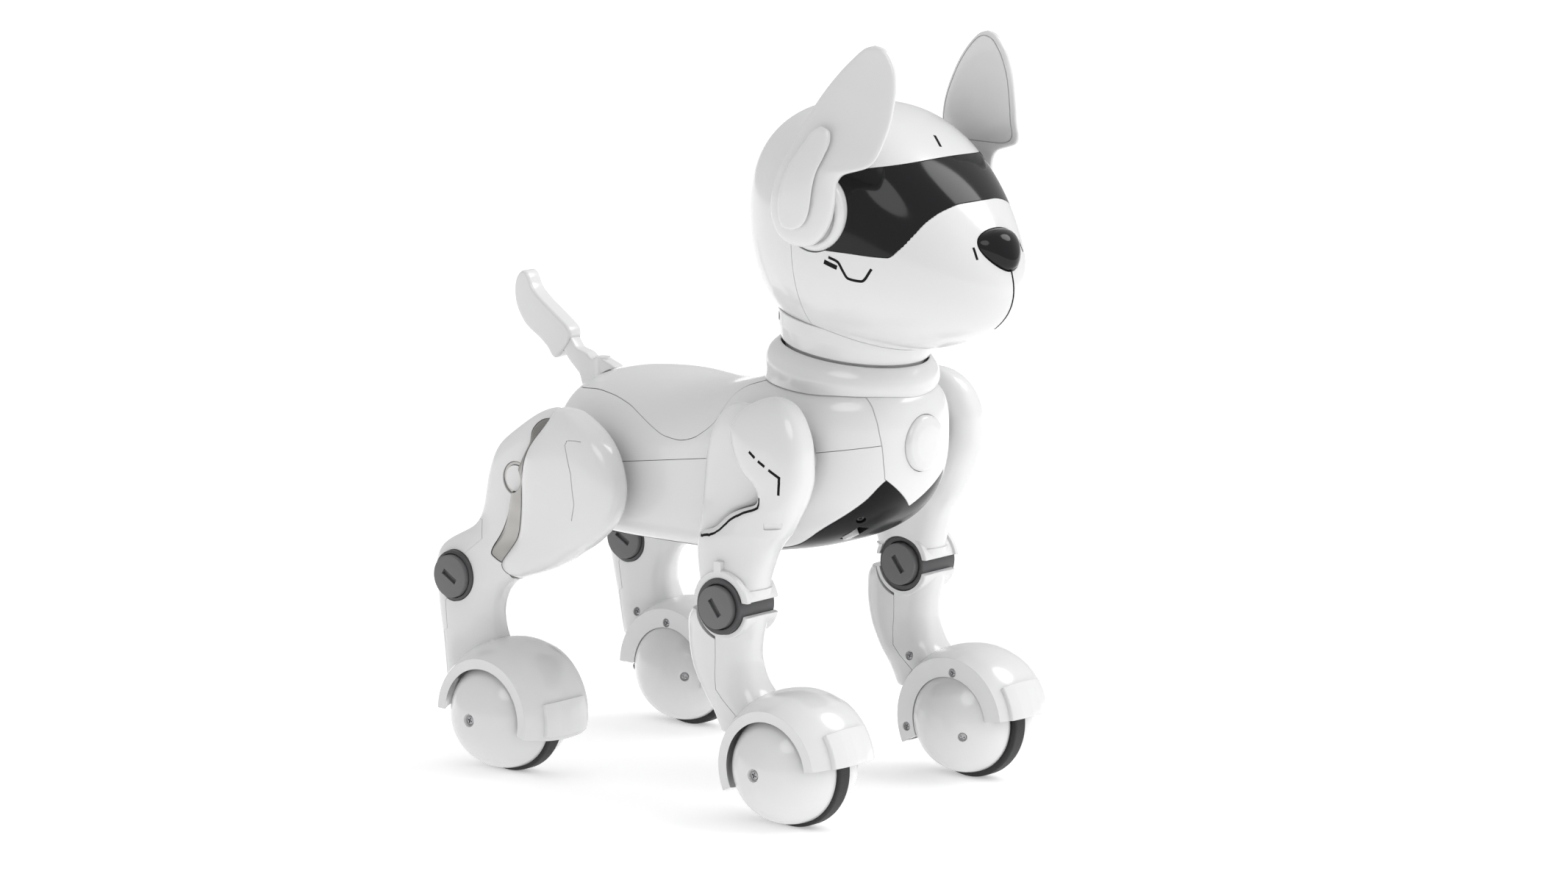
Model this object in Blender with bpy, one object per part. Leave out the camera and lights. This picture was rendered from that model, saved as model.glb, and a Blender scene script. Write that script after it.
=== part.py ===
"""A robot dog toy on four wheels, as separate moulded pieces around their joints.

Places are given as (forward, left, up) in millimetres from the point on the floor midway between
the four wheels. world() turns them into Blender's metres: the dog looks along -Y, its left side is
+X, and the origin is under the middle of the whole toy.
"""

import bmesh
import bpy
import numpy as np

MM = 0.001
GAP = 0.3          # clearance between pieces that touch
MIDDLE = 7.1       # how far the middle of the toy's box lies in front of the middle of the wheels
SIDES = (("right", -1), ("left", 1))

# Wheels and their covers
WHEELBASE = 140.4
TRACK = 104.0
TYRE_RADIUS = 23.0
TYRE_WIDTH = 6.0
DOME_RADIUS = 21.5
DOME_REACH = 25.0        # from the middle of the tyre out to the dome's top
COVER_REACH = 23.0       # the same on the inner side
SHAFT_RADIUS = 3.0
FENDER_OUTER = ((22.4, 18), (25.0, 13.5), (27.3, 6.5), (28.0, -1), (27.3, -8.5), (24.8, -15))
FENDER_INNER = ((22.2, -15), (24.4, -8), (24.4, 4), (22.4, 11.5), (18.5, 18))
FRONT_FENDER = (8, 206)  # degrees, from straight ahead over the top
REAR_FENDER = (-15, 178)

# Joints
NECK = (53.0, 0.0, 158.0)
NECK_LEAN = 9.0          # degrees forward
SHOULDER = (57.0, 134.3)
ELBOW = (42.0, 79.5)
HIP = (-46.0, 119.3)
HOCK = (-96.0, 72.4)
EAR = (69.0, 225.0)
TAIL = (-70.0, 150.0)
AXLE_RADIUS = 4.0

# The casing is parted along a plane that rises towards the front
SEAM_HEIGHT, SEAM_SLOPE = 126.0, 0.145
WALL = 2.2
BELLY = 89.4             # flat underside of the battery door
SWITCH_SLOPE = 28.0      # degrees

# Torso sections: forward, half width, bottom, top, squareness below and above the seam
TORSO = (
    (-82.0, 0.0, 114.0, 114.0, 2.2, 2.2), (-81.0, 9.0, 106.0, 124.0, 2.4, 2.2),
    (-77.0, 20.0, 99.0, 136.0, 2.8, 2.3), (-69.0, 29.0, 94.5, 145.5, 3.4, 2.4),
    (-51.0, 36.0, 91.0, 151.3, 4.2, 2.4), (-33.0, 38.5, 90.2, 152.3, 4.5, 2.4),
    (-14.0, 39.0, 90.0, 150.6, 4.5, 2.5), (2.0, 39.0, 90.0, 152.0, 4.5, 2.7),
    (16.0, 39.0, 90.0, 155.5, 4.2, 3.0), (30.0, 39.0, 91.5, 158.5, 3.8, 3.6),
    (50.0, 38.0, 95.0, 160.0, 3.2, 4.0), (66.0, 34.0, 101.0, 160.0, 2.8, 3.8),
    (77.0, 27.0, 108.5, 158.5, 2.6, 3.4), (84.0, 19.0, 118.0, 154.5, 2.4, 3.0),
    (87.5, 9.0, 129.0, 147.0, 2.3, 2.6), (88.3, 0.0, 138.0, 138.0, 2.3, 2.4),
)
# Edge of the saddle cover and top edge of the belly pan, seen from the side
SADDLE_EDGE = ((-92, 138), (-70, 143.5), (-54.5, 146.5), (-40, 148), (-26.6, 146), (-12.5, 137.2),
               (-2, 133.4), (8.5, 134.4), (17.7, 141.9), (21.9, 149.1), (28.8, 154.9), (42, 161))
PAN_EDGE = ((-92, 93), (11, 93), (25, 93.8), (44, 96.6), (63, 106.7), (77, 117), (83, 124.6), (92, 136))
# Half of the chest plate seen from the front: left, up
CHEST = ((22.6, 170), (22.4, 158.5), (22.2, 148), (21.9, 139.5), (21.0, 131), (18.2, 125.2), (0, 112.5))

# Head: a squarish ellipsoid that swells towards the snout
HEAD_MIDDLE = (68.2, 0.0, 215.9)
HEAD_HALF = (53.8, 42.3, 45.3)
HEAD_LEAN, HEAD_SQUARE, SNOUT_SWELL, CROWN_DROP = 0.062, 0.874, 0.415, -0.077
VISOR_TOP, VISOR_ARCH = 239.3, 4.3  # height of its top edge at the sides, and how much higher in front
VISOR_LOWER = ((0, 229.0), (12, 228.8), (23, 227.0), (31, 224.0), (38, 219.0), (44, 214.0), (49.5, 210.6),
               (56, 210.8), (70, 211.6), (84, 212.0))  # degrees aside, height
NOSE = (212.0, 10.8, 7.5)  # middle height, half width, half height

# Limbs as level sections: up, rear, front, inner side, outer side
ARM = (
    (80.0, 29.5, 53.2, 43.0, 61.0), (89.0, 27.0, 54.6, 42.2, 60.8), (95.0, 26.5, 57.6, 41.8, 60.0),
    (100.0, 27.5, 60.6, 41.4, 59.4), (103.5, 31.0, 62.6, 41.2, 59.0), (107.0, 35.8, 64.6, 41.0, 58.7),
    (112.0, 41.5, 66.8, 41.0, 58.4), (115.7, 48.0, 68.6, 41.0, 58.3), (118.5, 54.0, 70.0, 41.0, 58.3),
    (123.0, 53.5, 72.0, 41.0, 58.5), (130.0, 44.8, 73.8, 41.0, 59.0), (139.5, 39.4, 73.4, 41.0, 58.5),
    (144.6, 38.6, 71.8, 41.0, 57.5), (149.0, 40.3, 69.6, 41.2, 56.0), (153.5, 44.5, 65.8, 41.5, 53.0),
    (156.0, 50.0, 62.0, 43.0, 50.0), (156.8, 56.0, 56.0, 46.0, 46.0),
)
ARM_BACK = (
    (104.2, 24.0, 33.0, 41.3, 52.0), (108.0, 24.0, 36.5, 41.0, 52.0), (113.0, 24.2, 42.0, 41.0, 51.6),
    (117.0, 24.3, 50.0, 41.0, 51.3), (130.0, 25.2, 56.0, 41.0, 50.5), (140.0, 27.0, 57.0, 41.0, 50.0),
    (147.0, 30.0, 57.0, 41.0, 49.5), (152.0, 35.0, 56.0, 41.3, 48.0), (154.5, 41.0, 53.0, 43.0, 47.0),
    (155.2, 47.0, 47.0, 45.0, 45.0),
)
FOREARM = (
    (33.0, 38.0, 68.0, 40.0, 63.0), (40.0, 34.0, 63.0, 40.5, 62.5), (45.0, 30.0, 58.0, 41.0, 62.0),
    (50.0, 26.5, 54.0, 42.0, 61.5), (55.0, 23.8, 52.0, 42.6, 61.2), (60.0, 22.3, 51.0, 43.0, 61.0),
    (66.0, 21.5, 51.5, 43.0, 61.0), (72.0, 21.5, 53.0, 43.0, 61.5), (76.5, 24.0, 54.0, 43.0, 61.5),
)
THIGH = (
    (74.2, -67.0, -67.0, 50.0, 50.0), (74.8, -69.5, -64.5, 47.0, 53.0), (76.5, -74.0, -59.5, 44.0, 55.0),
    (79.0, -76.3, -52.0, 42.5, 56.0), (83.0, -73.0, -44.0, 41.5, 57.0), (87.0, -69.5, -38.0, 41.0, 57.5),
    (92.0, -66.0, -30.0, 41.0, 58.0), (97.0, -65.0, -24.0, 41.0, 58.6), (102.0, -64.4, -19.5, 41.0, 59.0),
    (108.0, -64.2, -16.8, 41.0, 59.3), (114.0, -63.9, -16.0, 41.0, 59.5), (120.0, -63.0, -17.2, 41.0, 59.3),
    (128.0, -58.6, -21.0, 41.0, 58.5), (134.0, -53.4, -27.5, 41.0, 57.0), (138.0, -50.5, -34.5, 41.5, 55.0),
    (141.0, -49.5, -41.0, 43.0, 52.0), (141.6, -47.0, -47.0, 47.0, 47.0),
)
TRIM = (
    (73.3, -70.0, -70.0, 49.0, 49.0), (74.5, -76.0, -66.0, 45.0, 53.0), (77.0, -80.0, -66.0, 44.0, 54.0),
    (80.0, -84.4, -70.0, 43.5, 55.0), (85.0, -80.0, -66.0, 43.0, 55.5), (90.0, -75.0, -62.0, 43.0, 56.0),
    (95.0, -72.0, -60.0, 43.0, 56.0), (102.0, -69.4, -59.0, 43.0, 56.5), (110.0, -68.4, -58.0, 43.0, 56.5),
    (120.0, -66.0, -57.0, 43.0, 56.0), (130.0, -61.2, -48.0, 43.5, 54.5), (136.0, -57.0, -44.0, 44.0, 52.0),
    (138.5, -52.0, -52.0, 48.0, 48.0),
)
THIGH_TAB = (-66.8, 113.0)  # a round tab on the thigh's rear edge, which the metal strip passes behind
TAB_RADIUS = 5.0
LEG = (
    (34.0, -100.6, -68.0, 40.0, 62.0), (42.6, -103.0, -72.0, 41.0, 60.0), (49.0, -104.6, -75.9, 42.3, 58.5),
    (59.0, -107.0, -78.5, 42.5, 57.5), (64.0, -108.0, -77.5, 42.5, 57.0), (70.5, -109.4, -74.0, 42.0, 56.5),
    (74.0, -110.0, -68.0, 41.7, 56.5), (79.0, -109.8, -66.0, 41.5, 56.0), (84.0, -105.5, -64.0, 41.5, 55.5),
    (88.0, -98.0, -62.0, 41.5, 55.0), (93.0, -89.0, -60.0, 41.5, 54.5), (100.0, -86.0, -58.0, 41.5, 54.0),
    (110.0, -84.5, -60.0, 41.5, 53.5), (122.6, -80.0, -55.0, 41.5, 53.0), (132.0, -69.0, -48.0, 42.0, 52.0),
    (140.0, -56.0, -48.0, 43.0, 49.0), (141.0, -52.0, -52.0, 46.0, 46.0),
)
LEG_SPINE = ((-125, 96), (-84.3, 95), (-82.9, 88.1), (-91.9, 80.9), (-95, 72), (-100.6, 62),
             (-98.9, 51.7), (-101.2, 50.4), (-97.6, 36.6), (-96.5, 25), (-125, 25))
FOREARM_SPINE = ((10, 90), (38.6, 90), (38.6, 53), (39.4, 48), (43, 44.7), (50, 39.5), (50, 20), (10, 20))

# Ears as level sections, like the limbs, but each with its own distance from the middle
EAR_BLADE = (
    (213.0, 68.5, 68.5, 47.2, 47.2), (214.0, 62.5, 73.0, 45.8, 48.4), (217.0, 58.8, 77.0, 45.0, 49.4),
    (221.0, 56.4, 80.0, 44.9, 49.6), (226.0, 55.2, 81.8, 44.8, 49.6), (231.0, 55.4, 82.4, 44.4, 49.4),
    (236.0, 56.8, 82.8, 44.6, 49.0), (240.0, 58.0, 85.0, 44.5, 48.6), (242.0, 58.6, 91.0, 44.0, 48.2),
    (244.0, 59.2, 96.5, 43.2, 47.4), (247.0, 60.3, 98.4, 42.0, 46.2), (252.0, 62.0, 99.4, 39.6, 43.8),
    (260.0, 65.6, 100.8, 37.2, 41.2), (268.0, 70.4, 101.2, 35.6, 39.4), (276.0, 76.5, 100.2, 34.0, 37.6),
    (282.0, 82.5, 97.6, 33.2, 36.6), (285.4, 87.0, 94.4, 33.2, 36.2), (286.4, 90.5, 90.5, 34.6, 34.6),
)
EAR_CAP = (
    (219.4, 66.0, 66.0, 51.0, 51.0), (220.6, 62.8, 70.2, 49.9, 52.0), (224.0, 61.2, 73.2, 49.9, 52.0),
    (229.0, 60.8, 74.6, 49.8, 51.9), (235.0, 61.6, 75.2, 49.4, 51.6), (241.0, 63.6, 76.4, 48.6, 50.8),
    (247.0, 66.2, 78.4, 46.4, 49.0), (252.0, 69.2, 79.4, 44.2, 47.2), (255.5, 71.6, 78.6, 43.6, 46.0),
    (257.2, 75.0, 75.0, 44.8, 44.8),
)
EAR_TOE_IN = 0.09          # how much nearer the middle the ear gets, for each mm ahead of its pivot
TAIL_PADDLE = ((-109.7, 182.6), (-114.0, 179), (-115.4, 174), (-114.7, 168.4), (-111, 163.2), (-98.9, 154.3),
               (-97, 151), (-94.4, 149.4), (-88.8, 156.2), (-83.4, 158.6), (-81.5, 162.1), (-91.6, 169.1),
               (-98.5, 174.9), (-103.8, 180.8))
TAIL_SWING = 20          # degrees either way
TAIL_LINK = ((-88.2, 155.2), (-81.6, 140), (-60.2, 140), (-60, 149.4), (-68.4, 152.3), (-71.8, 151.3),
             (-76.3, 154.7), (-78.9, 154.2), (-83.2, 157.9))


# ---------------------------------------------------------------- curves and sections

def curve_at(knots, where):
    """A smooth curve through (x, y) knots that never overshoots them, read at where."""
    x, y = np.array(knots, float).T
    step = np.diff(x)
    slope = np.diff(y) / step
    tangent = np.r_[slope[0], np.zeros(len(x) - 2), slope[-1]]
    for i in range(1, len(x) - 1):
        if slope[i - 1] * slope[i] > 0:
            near, far = 2 * step[i] + step[i - 1], step[i] + 2 * step[i - 1]
            tangent[i] = (near + far) / (near / slope[i - 1] + far / slope[i])
    i = np.clip(np.searchsorted(x, where, side="right") - 1, 0, len(step) - 1)
    t = (where - x[i]) / step[i]
    return ((1 + 2 * t) * (1 - t) ** 2 * y[i] + t * (1 - t) ** 2 * step[i] * tangent[i]
            + t * t * (3 - 2 * t) * y[i + 1] + t * t * (t - 1) * step[i] * tangent[i + 1])


def smooth_rows(rows, count):
    """count rows on a smooth path through the given rows, evenly spread along it."""
    rows = np.array(rows, float)
    along = np.r_[0, np.cumsum(np.linalg.norm(np.diff(rows, axis=0), axis=1))]
    even = np.linspace(0, along[-1], count)
    return np.stack([curve_at(np.c_[along, column], even) for column in rows.T], axis=1)


def squircle(count, squareness):
    """Points round a unit superellipse."""
    angle = np.linspace(0, 2 * np.pi, count, endpoint=False)
    power = 2 / squareness
    return (np.sign(np.cos(angle)) * np.abs(np.cos(angle)) ** power,
            np.sign(np.sin(angle)) * np.abs(np.sin(angle)) ** power)


def lofted(rings, closed=False, split=False):
    """(points, faces) of a skin over rings of points; a ring of no size becomes one point.

    split makes triangles, so that two sizes of one form bend along the same diagonals.
    """
    points, rows, faces = [], [], []
    for ring in rings:
        size = 1 if np.ptp(ring, axis=0).max() < 1e-6 else len(ring)
        rows.append(range(len(points), len(points) + size))
        points.extend(ring[:size])
    following = rows[1:] + rows[:1] if closed else rows[1:]
    for low, high in zip(rows, following):
        count = max(len(low), len(high))
        for i in range(count):
            j = (i + 1) % count
            a, b = low[i % len(low)], low[j % len(low)]
            c, d = high[j % len(high)], high[i % len(high)]
            corners = ((a, b, c), (a, c, d)) if split else ((a, b, c, d),)
            faces += [face for face in map(tuple, map(dict.fromkeys, corners)) if len(face) > 2]
    if not closed:
        faces += [list(row) for row in (rows[0], rows[-1]) if len(row) > 2]
    return np.array(points), faces


def limb(sections, side, count=12, around=12, squareness=2.6, grow=0.0, toe_in=0.0):
    """A limb from level sections, on one side of the dog, grown by grow all round."""
    unit_forward, unit_left = squircle(around, squareness)
    rings = []
    for up, rear, front, inner, outer in smooth_rows(sections, count):
        sized = grow if front - rear > 1e-6 else 0.0
        forward = (rear + front) / 2 + ((front - rear) / 2 + sized) * unit_forward
        aside = (inner + outer) / 2 + ((outer - inner) / 2 + sized) * unit_left
        left = side * (aside - toe_in * (forward - EAR[0]))
        rings.append(np.stack([forward, left, np.full(around, up)], axis=1))
    rings[0][:, 2] -= grow
    rings[-1][:, 2] += grow
    return lofted(rings)


def turned(profile, place, axis, around=20):
    """(radius, height) points turned about an axis through place; a profile off the axis is a ring."""
    axis = np.array(axis, float) / np.linalg.norm(axis)
    across = np.cross(axis, (0.0, 0.0, 1.0) if abs(axis[2]) < 0.9 else (1.0, 0.0, 0.0))
    across /= np.linalg.norm(across)
    over = np.cross(axis, across)
    angle = np.linspace(0, 2 * np.pi, around, endpoint=False)
    spoke = np.cos(angle)[:, None] * across + np.sin(angle)[:, None] * over
    rings = [np.array(place) + height * axis + radius * spoke for radius, height in profile]
    return lofted(rings, closed=profile[0][0] > 0)


def prism(outline, low, high, along="left"):
    """A side-view (forward, up) outline drawn out along left, or a front-view one along forward."""
    a, b = np.array(outline, float).T
    rings = []
    for depth in (low, high):
        level = np.full(len(a), float(depth))
        rings.append(np.stack([a, level, b] if along == "left" else [level, a, b], axis=1))
    return lofted(rings)


def block(middle, size):
    """A box by its middle and its whole size."""
    forward, left, up = middle
    half_f, half_l, half_u = np.array(size) / 2
    outline = ((forward - half_f, up - half_u), (forward + half_f, up - half_u),
               (forward + half_f, up + half_u), (forward - half_f, up + half_u))
    return prism(outline, left - half_l, left + half_l)


def rod(place, reach_right, reach_left, radius, around=16):
    """A cylinder along the left-right axis through a (forward, up) place."""
    return turned([(0, reach_right), (radius, reach_right), (radius, reach_left), (0, reach_left)],
                  (place[0], 0, place[1]), (0, 1, 0), around)


# ---------------------------------------------------------------- objects

def world(points):
    """(forward, left, up) in millimetres to metres, with the origin under the toy's middle."""
    points = np.atleast_2d(points)
    return np.stack([points[:, 1], MIDDLE - points[:, 0], points[:, 2]], axis=1) * MM


def joint(name, place, parent=None):
    """An empty on a joint's axis, which the moving pieces hang from."""
    empty = bpy.data.objects.new(name, None)
    empty.empty_display_size = 0.01
    bpy.context.scene.collection.objects.link(empty)
    empty["place"] = world(place)[0].tolist()
    empty.parent = parent
    start = np.array(parent["place"]) if parent else np.zeros(3)
    empty.location = np.array(empty["place"]) - start
    return empty


def mesh_object(name, shape, parent):
    points, faces = shape
    start = np.array(parent["place"]) if parent else np.zeros(3)
    mesh = bpy.data.meshes.new(name)
    mesh.from_pydata((world(points) - start).tolist(), [], faces)
    edit = bmesh.new()
    edit.from_mesh(mesh)
    bmesh.ops.recalc_face_normals(edit, faces=edit.faces)
    edit.to_mesh(mesh)
    edit.free()
    obj = bpy.data.objects.new(name, mesh)
    bpy.context.scene.collection.objects.link(obj)
    obj.parent = parent
    return obj


def piece(name, shape, material, parent=None):
    """A part of the toy."""
    obj = mesh_object(name, shape, parent)
    obj.data.materials.append(material)
    obj.data.shade_smooth()
    obj.data.set_sharp_from_angle(angle=np.radians(40))
    return obj


def helper(name, shape):
    """A shape that only cuts others."""
    obj = mesh_object(name, shape, None)
    obj.hide_render = True
    obj.display_type = "WIRE"
    return obj


def combine(obj, operation, others):
    for other in others:
        modifier = obj.modifiers.new(f"{operation.lower()} {other.name}", "BOOLEAN")
        modifier.operation = operation
        modifier.object = other
        modifier.solver = "EXACT"


def cut(obj, *others):
    combine(obj, "DIFFERENCE", others)


def keep(obj, *others):
    combine(obj, "INTERSECT", others)


def join(obj, *others):
    combine(obj, "UNION", others)


def finish(name, colour, roughness, metallic=0.0):
    material = bpy.data.materials.new(name)
    material.use_nodes = True
    shader = material.node_tree.nodes["Principled BSDF"]
    shader.inputs["Base Color"].default_value = (*colour, 1.0)
    shader.inputs["Roughness"].default_value = roughness
    shader.inputs["Metallic"].default_value = metallic
    return material


# ---------------------------------------------------------------- shapes that several pieces share

def head_form(grow, rings=12, around=20):
    """The head's outer form: level rings of a squarish ellipsoid, longer towards the lower front."""
    up_turn = np.linspace(-np.pi / 2, np.pi / 2, rings)
    turn = np.linspace(0, 2 * np.pi, around, endpoint=False)
    layers = []
    for angle in up_turn:
        wide = max(np.cos(angle), 0.0) ** HEAD_SQUARE
        high = np.sign(np.sin(angle)) * abs(np.sin(angle)) ** HEAD_SQUARE
        ahead, aside = wide * np.cos(turn), wide * np.sin(turn)
        length = (HEAD_HALF[0] + grow) * (1 - SNOUT_SWELL * np.clip(np.cos(turn), 0, 1) * high)
        rise = (HEAD_HALF[2] + grow) * high
        layers.append(np.stack([
            HEAD_MIDDLE[0] + length * ahead - HEAD_LEAN * rise,
            HEAD_MIDDLE[1] + (HEAD_HALF[1] + grow) * aside,
            HEAD_MIDDLE[2] + rise * (1 + CROWN_DROP * ahead),
        ], axis=1))
    return lofted(layers, split=True)


def torso_form(grow, count=16, around=20):
    """The torso's outer form, as upright sections from tail to chest."""
    rings = []
    for forward, half, bottom, top, low_square, top_square in smooth_rows(TORSO, count):
        seam = np.clip(SEAM_HEIGHT + SEAM_SLOPE * forward, bottom, top)
        sized = grow if half > 1e-6 else 0.0
        turn = np.linspace(0, 2 * np.pi, around, endpoint=False)
        square = np.where(np.sin(turn) > 0, top_square, low_square)
        aside = np.sign(np.cos(turn)) * np.abs(np.cos(turn)) ** (2 / square)
        rise = np.sign(np.sin(turn)) * np.abs(np.sin(turn)) ** (2 / square)
        reach = np.where(rise > 0, top - seam, seam - bottom) + sized
        rings.append(np.stack([np.full(around, forward), (half + sized) * aside, seam + reach * rise], axis=1))
    rings[0][:, 0] -= grow
    rings[-1][:, 0] += grow
    return lofted(rings, split=True)


def side_zone(edge, beyond, grow, reach=60.0):
    """Everything above or below a side-view edge, out to height beyond."""
    where = np.linspace(edge[0][0], edge[-1][0], 20)
    height = curve_at(edge, where) + (-grow if beyond > edge[0][1] else grow)
    outline = [*zip(where, height), (where[-1], beyond), (where[0], beyond)]
    return prism(outline, -reach, reach)


def half_space(above, grow):
    """Everything above or below the casing's seam."""
    ends = (-100.0, 110.0)
    shift = -grow if above else grow
    outline = [(f, SEAM_HEIGHT + SEAM_SLOPE * f + shift) for f in ends]
    far = 200.0 if above else 60.0
    return prism([*outline, (ends[1], far), (ends[0], far)], -60, 60)


def chest_zone(grow):
    points = np.array(CHEST)
    points[:-1, 0] += grow
    points[-1, 1] -= 1.2 * grow
    outline = [*points, *(points[:-1] * (-1, 1))[::-1]]
    return prism(outline, 60 - grow, 100, along="forward")


def neck_turned(profile, around=20):
    lean = np.radians(NECK_LEAN)
    return turned(profile, NECK, (np.sin(lean), 0.0, np.cos(lean)), around)


def visor_zone(grow):
    """A band round the front of the head between the visor's upper and lower edges."""
    rings = []
    turns = np.array([turn for turn, _ in VISOR_LOWER], float)
    turns[-1] += grow
    turns = np.r_[-turns[:0:-1], turns]
    for turn in turns:
        low = curve_at(VISOR_LOWER, abs(turn)) - grow
        high = VISOR_TOP + VISOR_ARCH * np.cos(np.radians(turn)) + grow
        heading = np.array([np.cos(np.radians(turn)), np.sin(np.radians(turn)), 0.0])
        near, far = 20 * heading, 80 * heading
        start = np.array([HEAD_MIDDLE[0], 0.0, 0.0])
        corners = ((near, low), (far, low), (far, high), (near, high))
        rings.append(np.array([start + spoke + (0, 0, up) for spoke, up in corners]))
    return lofted(rings, split=True)


def head_back_zone(grow):
    """Everything behind the seam that runs down from the ears and under the head."""
    front = 58.6 + grow
    return prism([(0, 150), (front, 150), (front, 280), (0, 280)], -60, 60)


def wheel_place(end, side):
    return np.array([end * WHEELBASE / 2, side * TRACK / 2, TYRE_RADIUS])


def dome_arc(base, reach, start, count):
    """(radius, offset) points of a dome from its rim to its top."""
    turn = np.linspace(0, np.pi / 2, count)
    return [(base * np.cos(t), start + (reach - start) * np.sin(t)) for t in turn[:-1]] + [(0, reach)]


def fender(end, side, around=10):
    """A barrel-shaped arch over a wheel, closed at both its ends."""
    start, stop = FRONT_FENDER if end > 0 else REAR_FENDER
    section = [*FENDER_OUTER, *FENDER_INNER]
    middle = wheel_place(end, side)
    rings = []
    for turn in np.radians(np.linspace(start, stop, around)):
        spoke = np.array([np.cos(turn), 0.0, np.sin(turn)])
        rings.append(np.array([middle + r * spoke + (0, side * offset, 0) for r, offset in section]))
    return lofted(rings)


def toe_block(end, side):
    """The raised pad on the front of a fender."""
    begin = FRONT_FENDER[0] if end > 0 else REAR_FENDER[0] + 4
    section = ((25.0, -11), (27.8, -11), (29.0, -6), (29.4, 0), (29.0, 5), (27.6, 11), (25.0, 11))
    middle = wheel_place(end, side)
    rings = []
    for turn in np.radians(np.linspace(begin, begin + 27, 5)):
        spoke = np.array([np.cos(turn), 0.0, np.sin(turn)])
        rings.append(np.array([middle + r * spoke + (0, side * o, 0) for r, o in section]))
    return lofted(rings)


def wheel_bay(end, side):
    """The space that the wheel, its dome and the motor cover need inside the fender."""
    inner = [(radius - 2 * GAP, offset) for radius, offset in FENDER_INNER]
    profile = [(0, -40), (inner[0][0], -40), *inner, (inner[-1][0], 40), (0, 40)]
    return turned(profile, wheel_place(end, side), (0, side, 0), 24)


def half_ring(side, start, stop, inner, outer, low, high):
    """Part of a ring round the elbow, from one angle to another."""
    rings = []
    for turn in np.radians(np.linspace(start, stop, 7)):
        spoke = np.array([np.cos(turn), 0.0, np.sin(turn)])
        corners = ((inner, low), (outer, low), (outer, high), (inner, high))
        middle = np.array([ELBOW[0], 0.0, ELBOW[1]])
        rings.append(np.array([middle + r * spoke + (0, side * o, 0) for r, o in corners]))
    return lofted(rings)


# ---------------------------------------------------------------- head

def make_head(white, black, board):
    head = joint("head_joint", NECK)
    inside = helper("head_inside", head_form(-2 * WALL, 10, 14))
    recess = helper("visor_recess", visor_zone(GAP))
    cut(recess, helper("visor_floor", head_form(-WALL - GAP)))
    back = helper("head_back_zone", head_back_zone(-GAP / 2))
    front = helper("head_front_zone", head_back_zone(GAP / 2))
    neck_hole = helper("head_neck_hole", neck_turned([(0, 0), (22, 0), (22, 34), (0, 34)]))
    band = helper("visor_band", visor_zone(0))
    visor_back = helper("visor_back", head_form(-WALL))
    nose_hole = helper("nose_hole", nose_shape(GAP, ((90, 1.0), (150, 1.0))))
    pod_hole = helper("pod_hole", rod(EAR, -60, 60, 14.6, 20))

    face = piece("face_shell", head_form(0), white, head)
    cut(face, inside, front, recess, neck_hole, pod_hole, nose_hole)
    rear = piece("head_rear_shell", head_form(0), white, head)
    cut(rear, inside, neck_hole, pod_hole)
    keep(rear, back)
    visor = piece("visor", head_form(-0.1), black, head)
    cut(visor, visor_back, pod_hole)
    keep(visor, band)
    piece("nose", nose_shape(0.0, ((116, 1.0), (124.2, 1.0), (127, 0.86), (128.4, 0.5))), black, head)

    ring_profile = [(0, 12.6), (21.5, 12.6), (21.5, 20), (27.6, 20), (27.6, 12.4), (26.0, 12.0), (26.0, 9.8),
                    (8, 9.8), (8, -12), (0, -12)]
    ring = piece("head_base_ring", neck_turned(ring_profile), white, head)
    cut(ring, helper("head_clearance", head_form(GAP)))
    piece("eye_led_board", block((91, 0, 223), (1.6, 42, 20)), board, head)

    for name, side in SIDES:
        pod_profile = [(0, 30), (14.2, 30), (14.2, 41.5), (13.0, 43.2), (11.4, 43.6), (4.3, 43.6), (4.3, 35),
                       (0, 35)]
        piece(f"{name}_ear_pod", turned(pod_profile, (EAR[0], 0, EAR[1]), (0, side, 0)), white, head)
        ear_joint = joint(f"{name}_ear_joint", (EAR[0], side * 46, EAR[1]), head)
        ear = piece(f"{name}_ear", limb(EAR_BLADE, side, 15, 10, 3.0, 0.0, EAR_TOE_IN), white, ear_joint)
        join(ear, helper(f"{name}_ear_pin", rod(EAR, *sorted((side * 36.0, side * 46.0)), 4.0, 12)))
        cap_room = helper(f"{name}_ear_cap_room", limb(EAR_CAP, side, 8, 8, 2.4, GAP, EAR_TOE_IN))
        cut(ear, cap_room)
        piece(f"{name}_ear_cap", limb(EAR_CAP, side, 8, 8, 2.4, 0.0, EAR_TOE_IN), white, ear_joint)
    return head


def nose_shape(grow, layers):
    """A rounded triangle, wide at the top, through (forward, size) layers; it follows the snout's curve."""
    up, half_wide, half_high = NOSE
    angle = np.linspace(0, 2 * np.pi, 12, endpoint=False)
    aside = (half_wide + grow) * (1 + 0.28 * np.sin(angle)) * np.cos(angle)
    rise = (half_high + grow) * np.sin(angle)
    rings = []
    for forward, size in layers:
        bulge = 0.3 * rise * size + 0.03 * (aside * size) ** 2
        rings.append(np.stack([forward - bulge, aside * size, up + rise * size], axis=1))
    return lofted(rings)


# ---------------------------------------------------------------- torso

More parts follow.
